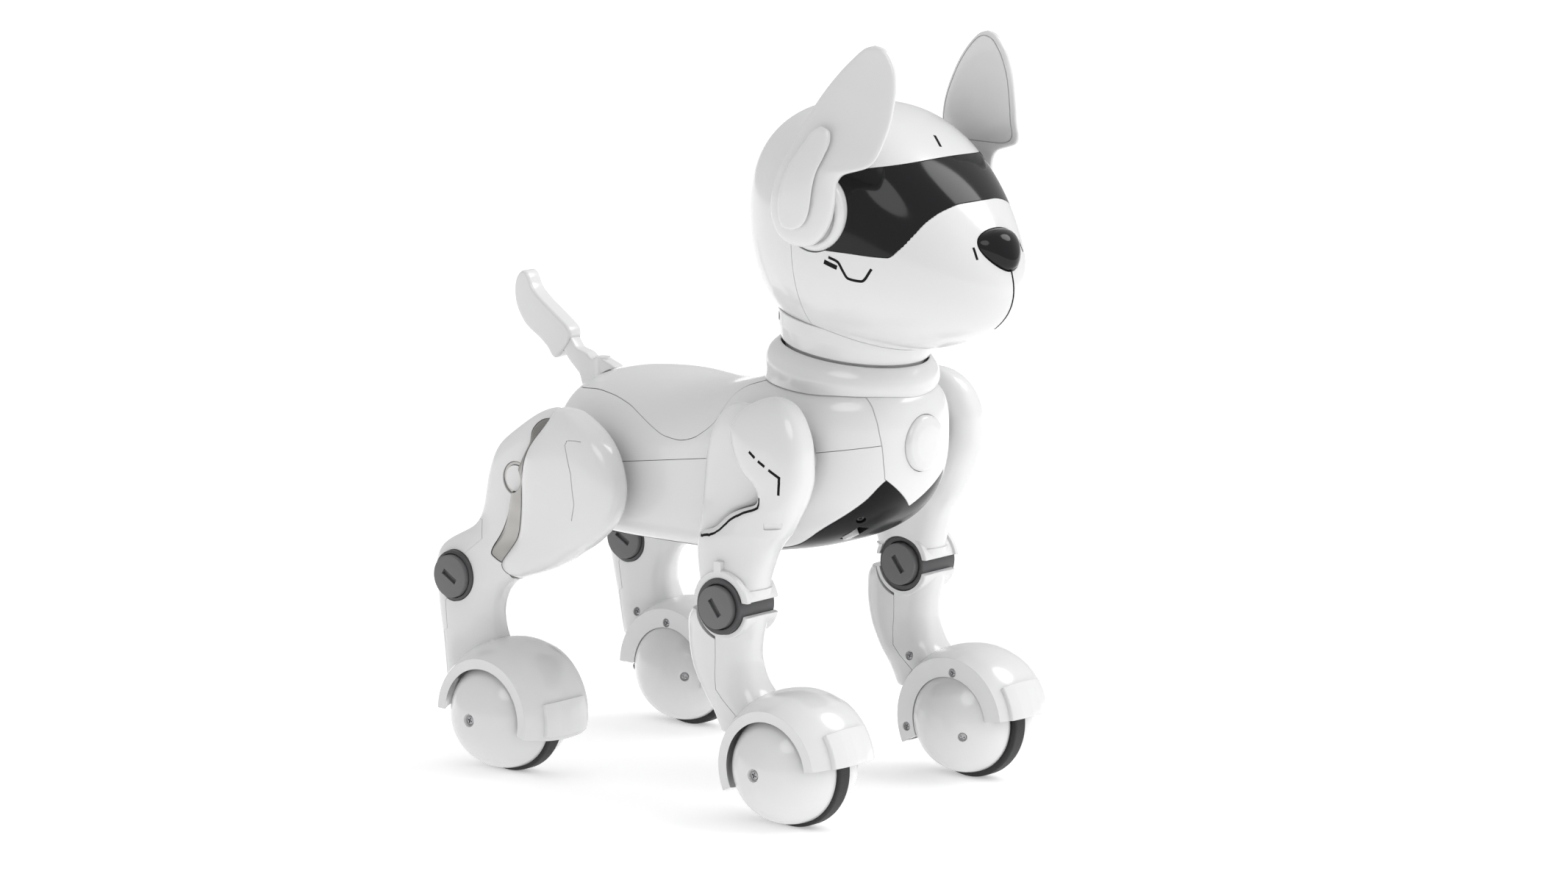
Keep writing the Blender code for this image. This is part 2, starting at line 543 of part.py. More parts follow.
def make_torso(white, black, grey, board, cell, steel):
    inside = helper("torso_inside", torso_form(-WALL, 12, 16))
    above = helper("above_seam", half_space(True, -GAP / 2))
    below = helper("below_seam", half_space(False, -GAP / 2))
    saddle_zone = helper("saddle_zone", side_zone(SADDLE_EDGE, 190.0, 0))
    saddle_room = helper("saddle_room", side_zone(SADDLE_EDGE, 190.0, GAP))
    pan_zone = helper("pan_zone", side_zone(PAN_EDGE, 60.0, -GAP))
    pan_room = helper("pan_room", side_zone(PAN_EDGE, 60.0, 0))
    plate_zone = helper("chest_zone", chest_zone(-GAP))
    plate_room = helper("chest_room", chest_zone(0))
    neck_hole = helper("torso_neck_hole", neck_turned([(0, -25), (24, -25), (24, 20), (0, 20)]))
    axle_holes = [helper(f"{name}_bore", rod(place, -50, 50, AXLE_RADIUS + 0.4, 12))
                  for name, place in (("shoulder", SHOULDER), ("hip", HIP))]
    button_hole = helper("button_hole", turned([(0, 60), (11, 60), (11, 100), (0, 100)], (0, 0, 137), (1, 0, 0)))
    door_hole = helper("door_hole", block((-30, 0, 90), (44 + 2 * GAP, 36 + 2 * GAP, 8)))
    switch_hole = helper("switch_hole", turned_block((66, -14, 102.5), (11, 5.2, 14), SWITCH_SLOPE))
    tail_hole = helper("tail_hole", turned([(0, -12), (3.4, -12), (3.4, 12), (0, 12)],
                                           (TAIL[0], 0, TAIL[1]), (0, 0, 1), 12))

    upper = piece("torso_upper_shell", torso_form(0), white)
    cut(upper, inside, saddle_room, plate_room, neck_hole, tail_hole, *axle_holes)
    keep(upper, above)
    lower = piece("torso_lower_shell", torso_form(0), white)
    cut(lower, inside, pan_room, plate_room, *axle_holes)
    keep(lower, below)
    saddle = piece("saddle_cover", torso_form(0), white)
    cut(saddle, inside, neck_hole, tail_hole)
    keep(saddle, saddle_zone)
    pan = piece("belly_pan", torso_form(-0.2), black)
    cut(pan, inside, plate_room, door_hole, switch_hole)
    keep(pan, pan_zone)
    plate = piece("chest_plate", torso_form(0.2), white)
    cut(plate, inside, button_hole, neck_hole)
    keep(plate, plate_zone)

    collar_profile = [(28.4, -9), (31.2, -9), (31.6, 0), (32.5, 4), (31.4, 8), (28.2, 11.5), (27.4, 11.2),
                      (29.3, 6), (30.0, 2)]
    collar = piece("neck_collar", neck_turned(collar_profile), white)
    cut(collar, helper("torso_clearance", torso_form(0.2 + GAP)))

    piece("battery_door", block((-30, 0, BELLY + 1.3), (44, 36, 2.6)), black)
    piece("battery_pack", block((-30, 0, 103), (48, 30, 15)), cell)
    piece("main_board", block((4, 0, 118), (52, 44, 1.6)), board)
    speaker_profile = [(0, 0), (14, 0), (14, 3), (8, 8), (0, 8)]
    piece("speaker", turned(speaker_profile, (8, 0, 96), (0, 0, 1), 16), grey)
    for name, place in (("shoulder_axle", SHOULDER), ("hip_axle", HIP)):
        piece(name, rod(place, -47, 47, AXLE_RADIUS, 12), steel)

    button_joint = joint("button_joint", (86, 0, 137))
    button_profile = [(0, 81), (10.5, 81), (10.5, 88.0), (9.6, 89.2), (7, 90.1), (0, 90.6)]
    piece("chest_button", turned(button_profile, (0, 0, 137), (1, 0, 0), 16), white, button_joint)
    switch_joint = joint("switch_joint", (66, -14, 102.5))
    piece("power_switch", turned_block((63.2, -14, 103.6), (4.5, 4.4, 6.0), SWITCH_SLOPE), grey, switch_joint)


def turned_block(middle, size, nose_up):
    """A box tipped about the left-right axis, its front raised by nose_up degrees."""
    points, faces = block((0, 0, 0), size)
    c, s = np.cos(np.radians(nose_up)), np.sin(np.radians(nose_up))
    tipped = np.stack([c * points[:, 0] - s * points[:, 2], points[:, 1], s * points[:, 0] + c * points[:, 2]], axis=1)
    return tipped + np.array(middle), faces


def swung(shape, forward, degrees):
    """A shape turned about the upright axis at a forward place on the middle line."""
    points, faces = shape
    c, s = np.cos(np.radians(degrees)), np.sin(np.radians(degrees))
    ahead, aside, up = (points - (forward, 0, 0)).T
    return np.stack([forward + c * ahead - s * aside, s * ahead + c * aside, up], axis=1), faces


def make_tail(white):
    tail = joint("tail_joint", (TAIL[0], 0, TAIL[1]))
    link = piece("tail_link", prism(TAIL_LINK, -4.6, 4.6), white, tail)
    for turn in (-TAIL_SWING, 0, TAIL_SWING):
        cut(link, helper(f"tail_clearance_{turn}", swung(torso_form(0.5), TAIL[0], turn)))
    join(link, helper("tail_pin", turned([(0, -10), (3, -10), (3, 2.5), (0, 2.5)],
                                         (TAIL[0], 0, TAIL[1]), (0, 0, 1), 12)))
    paddle = piece("tail_paddle", prism(TAIL_PADDLE, -6.0, 6.0), white, tail)
    cut(paddle, helper("tail_link_room", prism(np.array(TAIL_LINK) + (-0.3, 0.2), -5.0, 5.0)))
    edge = paddle.modifiers.new("round edge", "BEVEL")
    edge.width = 1.2 * MM
    edge.segments = 2
    edge.angle_limit = np.radians(60)


# ---------------------------------------------------------------- legs

def make_wheel(prefix, end, side, parent, white, rubber):
    place = wheel_place(end, side)
    wheel = joint(f"{prefix}_wheel_joint", place, parent)
    half = TYRE_WIDTH / 2
    tyre_profile = [(20.1, -half), (TYRE_RADIUS, -half), (TYRE_RADIUS, half), (20.1, half)]
    piece(f"{prefix}_tyre", turned(tyre_profile, place, (0, side, 0), 24), rubber, wheel)
    dome_profile = [(0, -12), (SHAFT_RADIUS, -12), (SHAFT_RADIUS, 19), *reversed(dome_arc(18.6, 22.5, -half, 5)[:-2]),
                    (19.8, -half), (19.8, half + GAP), *dome_arc(DOME_RADIUS, DOME_REACH, half + GAP, 6)]
    piece(f"{prefix}_wheel_dome", turned(dome_profile, place, (0, side, 0), 16), white, wheel)


def make_motor_cover(prefix, end, side, parent, white):
    """The fixed inner dome that hides the wheel's motor; the wheel's shaft turns in its bore."""
    rim = -TYRE_WIDTH / 2 - 0.8
    bore = SHAFT_RADIUS + 0.4
    profile = [(0, -13), (bore, -13), (bore, rim), (20.8, rim), *dome_arc(20.8, -COVER_REACH, rim, 5)[1:]]
    piece(f"{prefix}_motor_cover", turned(profile, wheel_place(end, side), (0, side, 0), 16), white, parent)


def make_front_leg(name, side, white, grey, rubber):
    shoulder = joint(f"{name}_shoulder_joint", (SHOULDER[0], side * 50, SHOULDER[1]))
    bore = bpy.data.objects["shoulder_bore"]
    barrel_room = helper(f"{name}_barrel_room", rod(ELBOW, *sorted((side * 38.0, side * 70.0)), 10.8, 20))
    back_shape = limb(ARM_BACK, side, 9, 10, 3.2)
    arm = piece(f"{name}_arm_cover", limb(ARM, side, 15, 12, 2.8), white, shoulder)
    join(arm, helper(f"{name}_arm_yoke", half_ring(side, 8, 174, 8.0, 12.4, 43.0, 61.0)))
    cut(arm, helper(f"{name}_arm_back_room", limb(ARM_BACK, side, 9, 10, 3.2, GAP)), barrel_room, bore,
        helper(f"{name}_arm_end", block((ELBOW[0], side * 52, 70), (60, 40, 24))))
    back = piece(f"{name}_arm_back", back_shape, white, shoulder)
    cut(back, bore)

    elbow = joint(f"{name}_elbow_joint", (ELBOW[0], side * 52, ELBOW[1]), shoulder)
    hinge_profile = [(0, 41.2), (8.0, 41.2), (8.0, 43.4), (10.4, 43.4), (10.4, 63.0), (8.0, 63.0), (8.0, 65.2),
                     (0, 65.2)]
    piece(f"{name}_elbow_pivot", turned(hinge_profile, (ELBOW[0], 0, ELBOW[1]), (0, side, 0), 20), grey, shoulder)

    spine_zone = helper(f"{name}_forearm_spine_zone", prism(FOREARM_SPINE, *sorted((side * 30.0, side * 75.0))))
    spine_room = helper(f"{name}_forearm_spine_room",
                        prism(np.array(FOREARM_SPINE) + (GAP, 0.1), *sorted((side * 30.0, side * 75.0))))
    bay = helper(f"{name}_front_bay", wheel_bay(1, side))
    arch = helper(f"{name}_front_arch", fender(1, side))
    lower_ring = half_ring(side, 192, 345, 8.0, 12.4, 43.0, 61.0)
    forearm = piece(f"{name}_forearm", limb(FOREARM, side, 8, 12, 2.8), white, elbow)
    cut(forearm, spine_room, bay)
    join(forearm, arch, helper(f"{name}_forearm_ring", lower_ring),
         helper(f"{name}_front_toe", toe_block(1, side)))
    cut(forearm, barrel_room)
    cover = piece(f"{name}_forearm_back", limb(FOREARM, side, 8, 12, 2.8), white, elbow)
    keep(cover, spine_zone)
    cut(cover, barrel_room, helper(f"{name}_forearm_ring_room", half_ring(side, 185, 357, 6.0, 13.2, 42.0, 62.0)),
        helper(f"{name}_front_arch_room", arch_room(1, side)))
    make_motor_cover(f"{name}_front", 1, side, elbow, white)
    make_wheel(f"{name}_front", 1, side, elbow, white, rubber)


def arch_room(end, side):
    """A barrel that a fender and its wheel fill, with a little room."""
    outer = [(radius + GAP, offset) for radius, offset in FENDER_OUTER]
    profile = [(0, 40), (outer[0][0], 40), *outer, (outer[-1][0], -40), (0, -40)]
    return turned(profile, wheel_place(end, side), (0, side, 0), 24)


def tab(side, radius, inner, outer):
    return rod(THIGH_TAB, *sorted((side * inner, side * outer)), radius, 16)


def make_rear_leg(name, side, white, grey, rubber, chrome):
    hip = joint(f"{name}_hip_joint", (HIP[0], side * 50, HIP[1]))
    bore = bpy.data.objects["hip_bore"]
    thigh = piece(f"{name}_thigh_cover", limb(THIGH, side, 14, 12, 2.8), white, hip)
    join(thigh, helper(f"{name}_thigh_tab", tab(side, TAB_RADIUS, 45.0, 56.0)))
    cut(thigh, bore)
    thigh_room = helper(f"{name}_thigh_room", limb(THIGH, side, 14, 12, 2.8, GAP))
    join(thigh_room, helper(f"{name}_tab_room", tab(side, TAB_RADIUS + GAP, 44.6, 60.0)))
    trim = piece(f"{name}_thigh_trim", limb(TRIM, side, 11, 8, 3.2), chrome, hip)
    join(trim, helper(f"{name}_trim_bow", tab(side, TAB_RADIUS + 1.3, 47.0, 55.0)))
    cut(trim, thigh_room)
    trim_room = helper(f"{name}_trim_room", limb(TRIM, side, 11, 8, 3.2, GAP))
    join(trim_room, helper(f"{name}_bow_room", tab(side, TAB_RADIUS + 1.3 + GAP, 46.6, 61.0)))

    reach = sorted((side * 30.0, side * 75.0))
    bay = helper(f"{name}_rear_bay", wheel_bay(-1, side))
    disc_room = helper(f"{name}_hock_room", rod(HOCK, *sorted((side * 38.0, side * 70.0)), 10.1, 20))
    leg = piece(f"{name}_leg_shell", limb(LEG, side, 13, 12, 2.8), white, hip)
    cut(leg, helper(f"{name}_leg_spine_room", prism(np.array(LEG_SPINE) + (GAP, 0.1), *reach)), bay)
    join(leg, helper(f"{name}_rear_arch", fender(-1, side)), helper(f"{name}_rear_toe", toe_block(-1, side)))
    cut(leg, thigh_room, trim_room, disc_room)
    spine = piece(f"{name}_leg_spine", limb(LEG, side, 13, 12, 2.8), white, hip)
    keep(spine, helper(f"{name}_leg_spine_zone", prism(LEG_SPINE, *reach)))
    cut(spine, disc_room, helper(f"{name}_rear_arch_room", arch_room(-1, side)))
    cap_profile = [(0, 40.0), (8.2, 40.0), (8.2, 41.2), (9.7, 42.0), (9.7, 57.4), (8.2, 58.2), (8.2, 59.4),
                   (0, 59.4)]
    piece(f"{name}_hock_cap", turned(cap_profile, (HOCK[0], 0, HOCK[1]), (0, side, 0), 20), grey, hip)
    make_motor_cover(f"{name}_rear", -1, side, hip, white)
    make_wheel(f"{name}_rear", -1, side, hip, white, rubber)


def main():
    for obj in list(bpy.data.objects):
        bpy.data.objects.remove(obj)
    white = finish("white plastic", (0.86, 0.86, 0.87), 0.22)
    black = finish("gloss black plastic", (0.012, 0.012, 0.014), 0.12)
    grey = finish("grey plastic", (0.17, 0.17, 0.175), 0.4)
    rubber = finish("tyre rubber", (0.03, 0.03, 0.032), 0.75)
    chrome = finish("brushed metal trim", (0.52, 0.51, 0.50), 0.3, 1.0)
    steel = finish("steel", (0.6, 0.6, 0.61), 0.3, 1.0)
    board = finish("circuit board", (0.02, 0.12, 0.05), 0.5)
    cell = finish("battery wrap", (0.05, 0.12, 0.3), 0.4)
    make_head(white, black, board)
    make_torso(white, black, grey, board, cell, steel)
    make_tail(white)
    for name, side in SIDES:
        make_front_leg(name, side, white, grey, rubber)
        make_rear_leg(name, side, white, grey, rubber, chrome)


main()
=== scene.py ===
"""A robot dog toy on four wheels: white shells, a black visor and grey joint discs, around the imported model.

Places are (forward, left, up) in millimetres from the point on the floor midway between the wheels, as in
the part's source. place() turns them into the frame's metres: the dog looks along -Y and its left is +X.
"""

import bmesh
import bpy
import numpy as np
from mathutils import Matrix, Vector
from mathutils.bvhtree import BVHTree
from mathutils.interpolate import poly_3d_calc


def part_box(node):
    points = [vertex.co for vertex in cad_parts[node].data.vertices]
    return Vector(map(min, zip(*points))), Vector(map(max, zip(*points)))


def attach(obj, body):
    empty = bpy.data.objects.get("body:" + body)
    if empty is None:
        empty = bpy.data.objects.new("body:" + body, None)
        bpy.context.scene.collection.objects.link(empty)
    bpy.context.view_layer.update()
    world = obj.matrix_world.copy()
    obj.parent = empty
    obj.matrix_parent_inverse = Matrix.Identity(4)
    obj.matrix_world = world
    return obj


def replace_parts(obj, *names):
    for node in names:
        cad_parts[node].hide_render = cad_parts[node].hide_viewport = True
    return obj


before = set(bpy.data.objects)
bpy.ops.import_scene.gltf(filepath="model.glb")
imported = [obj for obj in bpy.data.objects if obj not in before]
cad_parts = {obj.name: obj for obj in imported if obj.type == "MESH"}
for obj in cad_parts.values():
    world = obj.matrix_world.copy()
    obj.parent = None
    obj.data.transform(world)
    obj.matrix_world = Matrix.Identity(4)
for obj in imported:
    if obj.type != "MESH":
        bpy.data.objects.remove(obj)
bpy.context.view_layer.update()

MM = 0.001
GAP = 0.2          # clearance between pieces that touch
SCREW = 1.45       # radius of the legs' screws
AXLE_BORE = 4.4    # radius of the holes for the shoulder and hip axles
BARREL, HUB, POD, BUTTON = 10.4, 9.7, 14.2, 10.5   # radii at the elbow, the hock, the ear and the chest
ABOVE, BELOW = 190, 60   # heights clear of the torso
SIDES = (("right", -1), ("left", 1))
CORNERS = ((-1, -1), (1, -1), (1, 1), (-1, 1))


def middle_of(node):
    low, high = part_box(node)
    return (low + high) / 2 / MM


FRONT_WHEEL, REAR_WHEEL = middle_of("left_front_tyre"), middle_of("left_rear_tyre")
MIDDLE = (FRONT_WHEEL.y + REAR_WHEEL.y) / 2   # how far behind the frame's middle the middle of the wheels is
WHEELBASE = REAR_WHEEL.y - FRONT_WHEEL.y
TRACK = 2 * FRONT_WHEEL.x
TYRE_RADIUS = FRONT_WHEEL.z

# Wheels and their covers
TYRE_WIDTH = 6
DOME_RADIUS = 21.5
DOME_REACH = 25        # from the middle of the tyre out to the dome's top
COVER_REACH = 23       # the same on the inner side
SHAFT_RADIUS = 3
FENDER_OUTER = ((22.4, 18), (25, 13.5), (27.3, 6.5), (28, -1), (27.3, -8.5), (24.8, -15))
FENDER_INNER = ((22.2, -15), (24.4, -8), (24.4, 4), (22.4, 11.5), (18.5, 18))
FRONT_FENDER = (8, 206)  # degrees, from straight ahead over the top
REAR_FENDER = (-15, 178)

# Joints
NECK = (53, 0, 158)
NECK_LEAN = 9
SHOULDER = (57, 134.3)
ELBOW = (42, 79.5)
HIP = (-46, 119.3)
HOCK = (-96, 72.4)
EAR = (69, 225)
TAIL = (-70, 150)

SEAM_HEIGHT, SEAM_SLOPE = 126, 0.145
WALL = 2.2
BELLY = 89.4
SWITCH_SLOPE = 28

# Torso sections: forward, half width, bottom, top, squareness below and above the seam
TORSO = (
    (-82, 0, 114, 114, 2.2, 2.2), (-81, 9, 106, 124, 2.4, 2.2),
    (-77, 20, 99, 136, 2.8, 2.3), (-69, 29, 94.5, 145.5, 3.4, 2.4),
    (-51, 36, 91, 151.3, 4.2, 2.4), (-33, 38.5, 90.2, 152.3, 4.5, 2.4),
    (-14, 39, 90, 150.6, 4.5, 2.5), (2, 39, 90, 152, 4.5, 2.7),
    (16, 39, 90, 155.5, 4.2, 3), (30, 39, 91.5, 158.5, 3.8, 3.6),
    (50, 38, 95, 160, 3.2, 4), (66, 34, 101, 160, 2.8, 3.8),
    (77, 27, 108.5, 158.5, 2.6, 3.4), (84, 19, 118, 154.5, 2.4, 3),
    (87.5, 9, 129, 147, 2.3, 2.6), (88.3, 0, 138, 138, 2.3, 2.4),
)
# Edge of the saddle cover and top edge of the belly pan, seen from the side
SADDLE_EDGE = ((-92, 141), (-70, 143), (-61.3, 144.1), (-50, 145.2), (-41.3, 144.8), (-30, 142.9), (-20.7, 139.7),
               (-13.6, 136.9), (-5.3, 134.2), (1.7, 133.6), (8.2, 135), (13.7, 138.1), (19.1, 142.9), (21.2, 147),
               (22.4, 151.3), (24.8, 154.6), (31, 157.2), (42, 161))
PAN_EDGE = ((-92, 93), (11, 93), (25, 93.8), (44, 96.6), (63, 106.7), (77, 117), (83, 124.6), (92, 136))
# Half of the chest plate seen from the front: left, up
CHEST = ((20.6, 170), (20.8, 157), (21.1, 149.4), (20.5, 142.7), (19.6, 137.5), (18.9, 131.4), (17.6, 125.4),
         (0, 112.5))

# Head: a squarish ellipsoid that swells towards the snout
HEAD_MIDDLE = (68.2, 0, 215.9)
HEAD_HALF = (53.8, 42.3, 45.3)
HEAD_LEAN, HEAD_SQUARE, SNOUT_SWELL, CROWN_DROP = 0.062, 0.874, 0.415, -0.077
VISOR_TOP, VISOR_ARCH = 239.3, 4.3  # height of its top edge at the sides, and how much higher in front
VISOR_LOWER = ((0, 229), (12, 228.8), (23, 227), (31, 224), (38, 219), (44, 214), (49.5, 210.6),
               (56, 210.8), (70, 211.6), (84, 212))  # degrees aside, height
NOSE = (212, 10.8, 7.5)  # middle height, half width, half height

# Limbs as level sections: up, rear, front, inner side, outer side
ARM = (
    (80, 29.5, 53.2, 43, 61), (89, 26.4, 54.4, 42.2, 60.8), (95, 24.8, 56.6, 41.8, 60),
    (100, 24.2, 58.2, 41.4, 59.4), (104.8, 24.4, 62.2, 41.2, 59), (106, 31.4, 63.2, 41.1, 58.9),
    (107.6, 33.8, 64.6, 41, 58.7), (110.7, 36.4, 66.2, 41, 58.5), (113.5, 40.8, 67.6, 41, 58.4),
    (115.7, 46.5, 68.6, 41, 58.3), (118.5, 54, 70, 41, 58.3), (123, 53.5, 72, 41, 58.5),
    (130, 44.8, 74, 41, 59), (139.5, 39.4, 73.8, 41, 58.5), (144.6, 38.6, 72.2, 41, 57.7),
    (149, 40.3, 69.8, 41.2, 56.2), (152, 43.4, 67.4, 41.4, 54.6), (154, 46.6, 64.9, 41.8, 52.8),
    (155.4, 49.6, 62.4, 42.6, 51), (156.2, 52, 60.2, 43.8, 49.2), (156.65, 54, 58.1, 44.9, 47.6),
    (156.8, 56, 56, 46, 46),
)
ARM_BACK = (
    (104.2, 22, 30.6, 41.3, 52), (108, 22, 33.6, 41, 52), (113, 22.2, 39.4, 41, 51.6),
    (117, 22.3, 49, 41, 51.3), (130, 22.9, 56, 41, 50.5), (140, 25, 57, 41, 50),
    (146, 27.8, 54, 41, 49.5), (149, 30.4, 50, 41.2, 48.5), (151.2, 33.2, 46, 42, 47.6),
    (152.3, 35.6, 42.6, 43.2, 46.6), (152.7, 39, 39, 45, 45),
)
FOREARM = (
    (33, 38, 68, 40, 63), (40, 34, 63, 40.5, 62.5), (45, 30, 58, 41, 62),
    (50, 26.5, 54, 42, 61.5), (55, 23.8, 52, 42.6, 61.2), (60, 22.3, 51, 43, 61),
    (66, 21.5, 51.5, 43, 61), (72, 21.5, 53, 43, 61.5), (76.5, 24, 54, 43, 61.5),
)
THIGH = (
    (74.2, -67, -67, 50, 50), (74.8, -69.5, -64.5, 47, 53), (76.5, -74, -59.5, 44, 55),
    (79, -76.3, -52, 42.5, 56), (83, -73, -44, 41.5, 57), (87, -69.5, -38, 41, 57.5),
    (92, -66, -30, 41, 58), (97, -65, -24, 41, 58.6), (102, -64.4, -19.5, 41, 59),
    (108, -64.2, -16.8, 41, 59.3), (114, -63.9, -16, 41, 59.5), (120, -63, -17.2, 41, 59.3),
    (128, -58.6, -21, 41, 58.5), (134, -53.4, -27.5, 41, 57), (138, -50.5, -34.5, 41.5, 55),
    (141, -49.5, -41, 43, 52), (141.6, -47, -47, 47, 47),
)
TRIM = (
    (73.3, -70, -70, 49, 49), (74.5, -76, -66, 45, 53), (77, -80, -66, 44, 54),
    (80, -84.4, -70, 43.5, 55), (85, -80, -66, 43, 55.5), (90, -75, -62, 43, 56),
    (95, -72, -60, 43, 56), (102, -69.4, -59, 43, 56.5), (110, -68, -58, 43, 56.5),
    (118, -64.6, -57, 43, 56), (124, -62, -52, 43, 55.5), (129, -59.6, -48, 43.5, 54.5),
    (131, -60.6, -47, 43.5, 54), (136, -57, -44, 44, 52), (138.5, -52, -52, 48, 48),
)
THIGH_TAB = (-66.8, 113)  # a round tab on the thigh's rear edge, with the metal strip bowed round it
TAB_RADIUS = 5
LEG = (
    (34, -100.6, -68, 40, 62), (42.6, -103, -72, 41, 60), (49, -104.6, -75.9, 42.3, 58.5),
    (59, -107, -78.5, 42.5, 57.5), (64, -108, -77.5, 42.5, 57), (70.5, -109.4, -74, 42, 56.5),
    (74, -110, -68, 41.7, 56.5), (79, -109.8, -66, 41.5, 56), (84, -105.5, -64, 41.5, 55.5),
    (88, -98, -62, 41.5, 55), (93, -89, -60, 41.5, 54.5), (100, -86, -58, 41.5, 54),
    (110, -84.5, -60, 41.5, 53.5), (122.6, -80, -55, 41.5, 53), (132, -69, -48, 42, 52),
    (140, -56, -48, 43, 49), (141, -52, -52, 46, 46),
)
LEG_SPINE = ((-125, 96), (-84.3, 95), (-82.9, 88.1), (-91.9, 80.9), (-95, 72), (-100.6, 62),
             (-98.9, 51.7), (-101.2, 50.4), (-97.6, 36.6), (-96.5, 25), (-125, 25))
FOREARM_SPINE = ((10, 90), (38.6, 90), (38.6, 53), (39.4, 48), (43, 44.7), (50, 39.5), (50, 20), (10, 20))

# Ears as level sections, like the limbs, but each with its own distance from the middle
EAR_BLADE = (
    (213, 68.5, 68.5, 47.2, 47.2), (214, 62.5, 73, 45.8, 48.4), (217, 58.8, 77, 45, 49.4),
    (221, 56.4, 80, 44.9, 49.6), (226, 55.2, 81.8, 44.8, 49.6), (231, 55.4, 82.4, 44.4, 49.4),
    (236, 56.8, 82.8, 44.6, 49), (240, 58, 85, 44.5, 48.6), (242, 58.6, 91, 44, 48.2),
    (244, 59.2, 96.5, 43.2, 47.4), (247, 60.3, 98.4, 42, 46.2), (252, 62, 99.4, 39.6, 43.8),
    (260, 65.6, 100.8, 37.2, 41.2), (268, 70.4, 101.2, 35.6, 39.4), (276, 76.5, 100.2, 34, 37.6),
    (282, 82.5, 97.6, 33.2, 36.6), (285.4, 87, 94.4, 33.2, 36.2), (286.4, 90.5, 90.5, 34.6, 34.6),
)
EAR_CAP = (
    (219.4, 66, 66, 51, 51), (220.6, 62.8, 70.2, 49.9, 52), (224, 61.2, 73.2, 49.9, 52),
    (229, 60.8, 74.6, 49.8, 51.9), (235, 61.6, 75.2, 49.4, 51.6), (241, 63.6, 76.4, 48.6, 50.8),
    (247, 66.2, 78.4, 46.4, 49), (252, 69.2, 79.4, 44.2, 47.2), (255.5, 71.6, 78.6, 43.6, 46),
    (257.2, 75, 75, 44.8, 44.8),
)
EAR_TOE_IN = 0.09          # how much nearer the middle the ear gets, for each mm ahead of its pivot
TAIL_PADDLE = ((-108.2, 183), (-111.4, 180.2), (-112.8, 175.8), (-111.9, 168.8), (-107.2, 161.6), (-99.8, 156.9),
               (-95.6, 153.6), (-92.4, 149.4), (-87.8, 153.2), (-84.2, 157.8), (-84, 161.8), (-92.6, 168.1),
               (-98.6, 172.2), (-103.6, 176.6), (-105.6, 181.4))
TAIL_SWING = 20          # degrees either way
TAIL_LINK = ((-90, 156), (-85.4, 150.1), (-79.9, 145.2), (-78.1, 140), (-60.2, 140), (-60.2, 148.6), (-63, 150.2),
             (-69.9, 152.6), (-73.5, 151.3), (-76.2, 153.6), (-81.4, 154.9), (-84.6, 159.2))


# Curves and sections

def bridged(start, end, leaving, arriving, length, t):
    """A cubic from start to end with the given tangents, read at share t of its length."""
    return ((1 + 2 * t) * (1 - t) ** 2 * start + t * (1 - t) ** 2 * length * leaving
            + t * t * (3 - 2 * t) * end + t * t * (t - 1) * length * arriving)


def curve_at(knots, where):
    """A smooth curve through (x, y) knots that never overshoots them, read at where."""
    x, y = np.array(knots, float).T
    step = np.diff(x)
    slope = np.diff(y) / step
    tangent = np.r_[slope[0], np.zeros(len(x) - 2), slope[-1]]
    for i in range(1, len(x) - 1):
        if slope[i - 1] * slope[i] > 0:
            near, far = 2 * step[i] + step[i - 1], step[i] + 2 * step[i - 1]
            tangent[i] = (near + far) / (near / slope[i - 1] + far / slope[i])
    i = np.clip(np.searchsorted(x, where, side="right") - 1, 0, len(step) - 1)
    return bridged(y[i], y[i + 1], tangent[i], tangent[i + 1], step[i], (where - x[i]) / step[i])


def smooth_rows(rows, count, soften=0):
    """count rows on a smooth path through the given rows, softened over a share of its length."""
    rows = np.array(rows, float)
    along = np.r_[0, np.cumsum(np.linalg.norm(np.diff(rows, axis=0), axis=1))]
    even = np.linspace(0, along[-1], count)
    out = np.stack([curve_at(np.c_[along, column], even) for column in rows.T], axis=1)
    if soften > 0:
        spread = np.arange(count)[:, None] - np.arange(count)
        reach = np.minimum(np.arange(count), np.arange(count)[::-1])[:, None] * 0.5
        width = np.minimum(soften * count, reach) + 1e-3
        weight = np.exp(-0.5 * (spread / width) ** 2)
        out = weight @ out / weight.sum(axis=1, keepdims=True)
    return out


def smooth_loop(points, count, corner):
    """A closed outline through points: straight between them at corner 0, a spline at 0.5."""
    points = np.array(points, float)
    ahead, behind = np.roll(points, -1, axis=0), np.roll(points, 1, axis=0)
    length = np.linalg.norm(ahead - points, axis=1)
    tangent = (ahead - behind) / (length + np.roll(length, 1))[:, None]
    total = np.cumsum(np.r_[0, length])
    out = []
    for where in np.linspace(0, total[-1], count, endpoint=False):
        i = min(np.searchsorted(total, where, side="right") - 1, len(points) - 1)
        j, t = (i + 1) % len(points), (where - total[i]) / length[i]
        straight = points[i] * (1 - t) + points[j] * t
        curved = bridged(points[i], points[j], tangent[i], tangent[j], length[i], t)
        out.append(straight + 2 * corner * (curved - straight))
    return np.array(out)


def inset(outline, amount):
    """A closed outline moved inwards along its own normals."""
    ahead, behind = np.roll(outline, -1, axis=0), np.roll(outline, 1, axis=0)
    run = ahead - behind
    run /= np.linalg.norm(run, axis=1, keepdims=True)
    area = np.sum(outline[:, 0] * ahead[:, 1] - ahead[:, 0] * outline[:, 1])
    inwards = np.stack([-run[:, 1], run[:, 0]], axis=1) * np.sign(area)
    return outline + amount * inwards


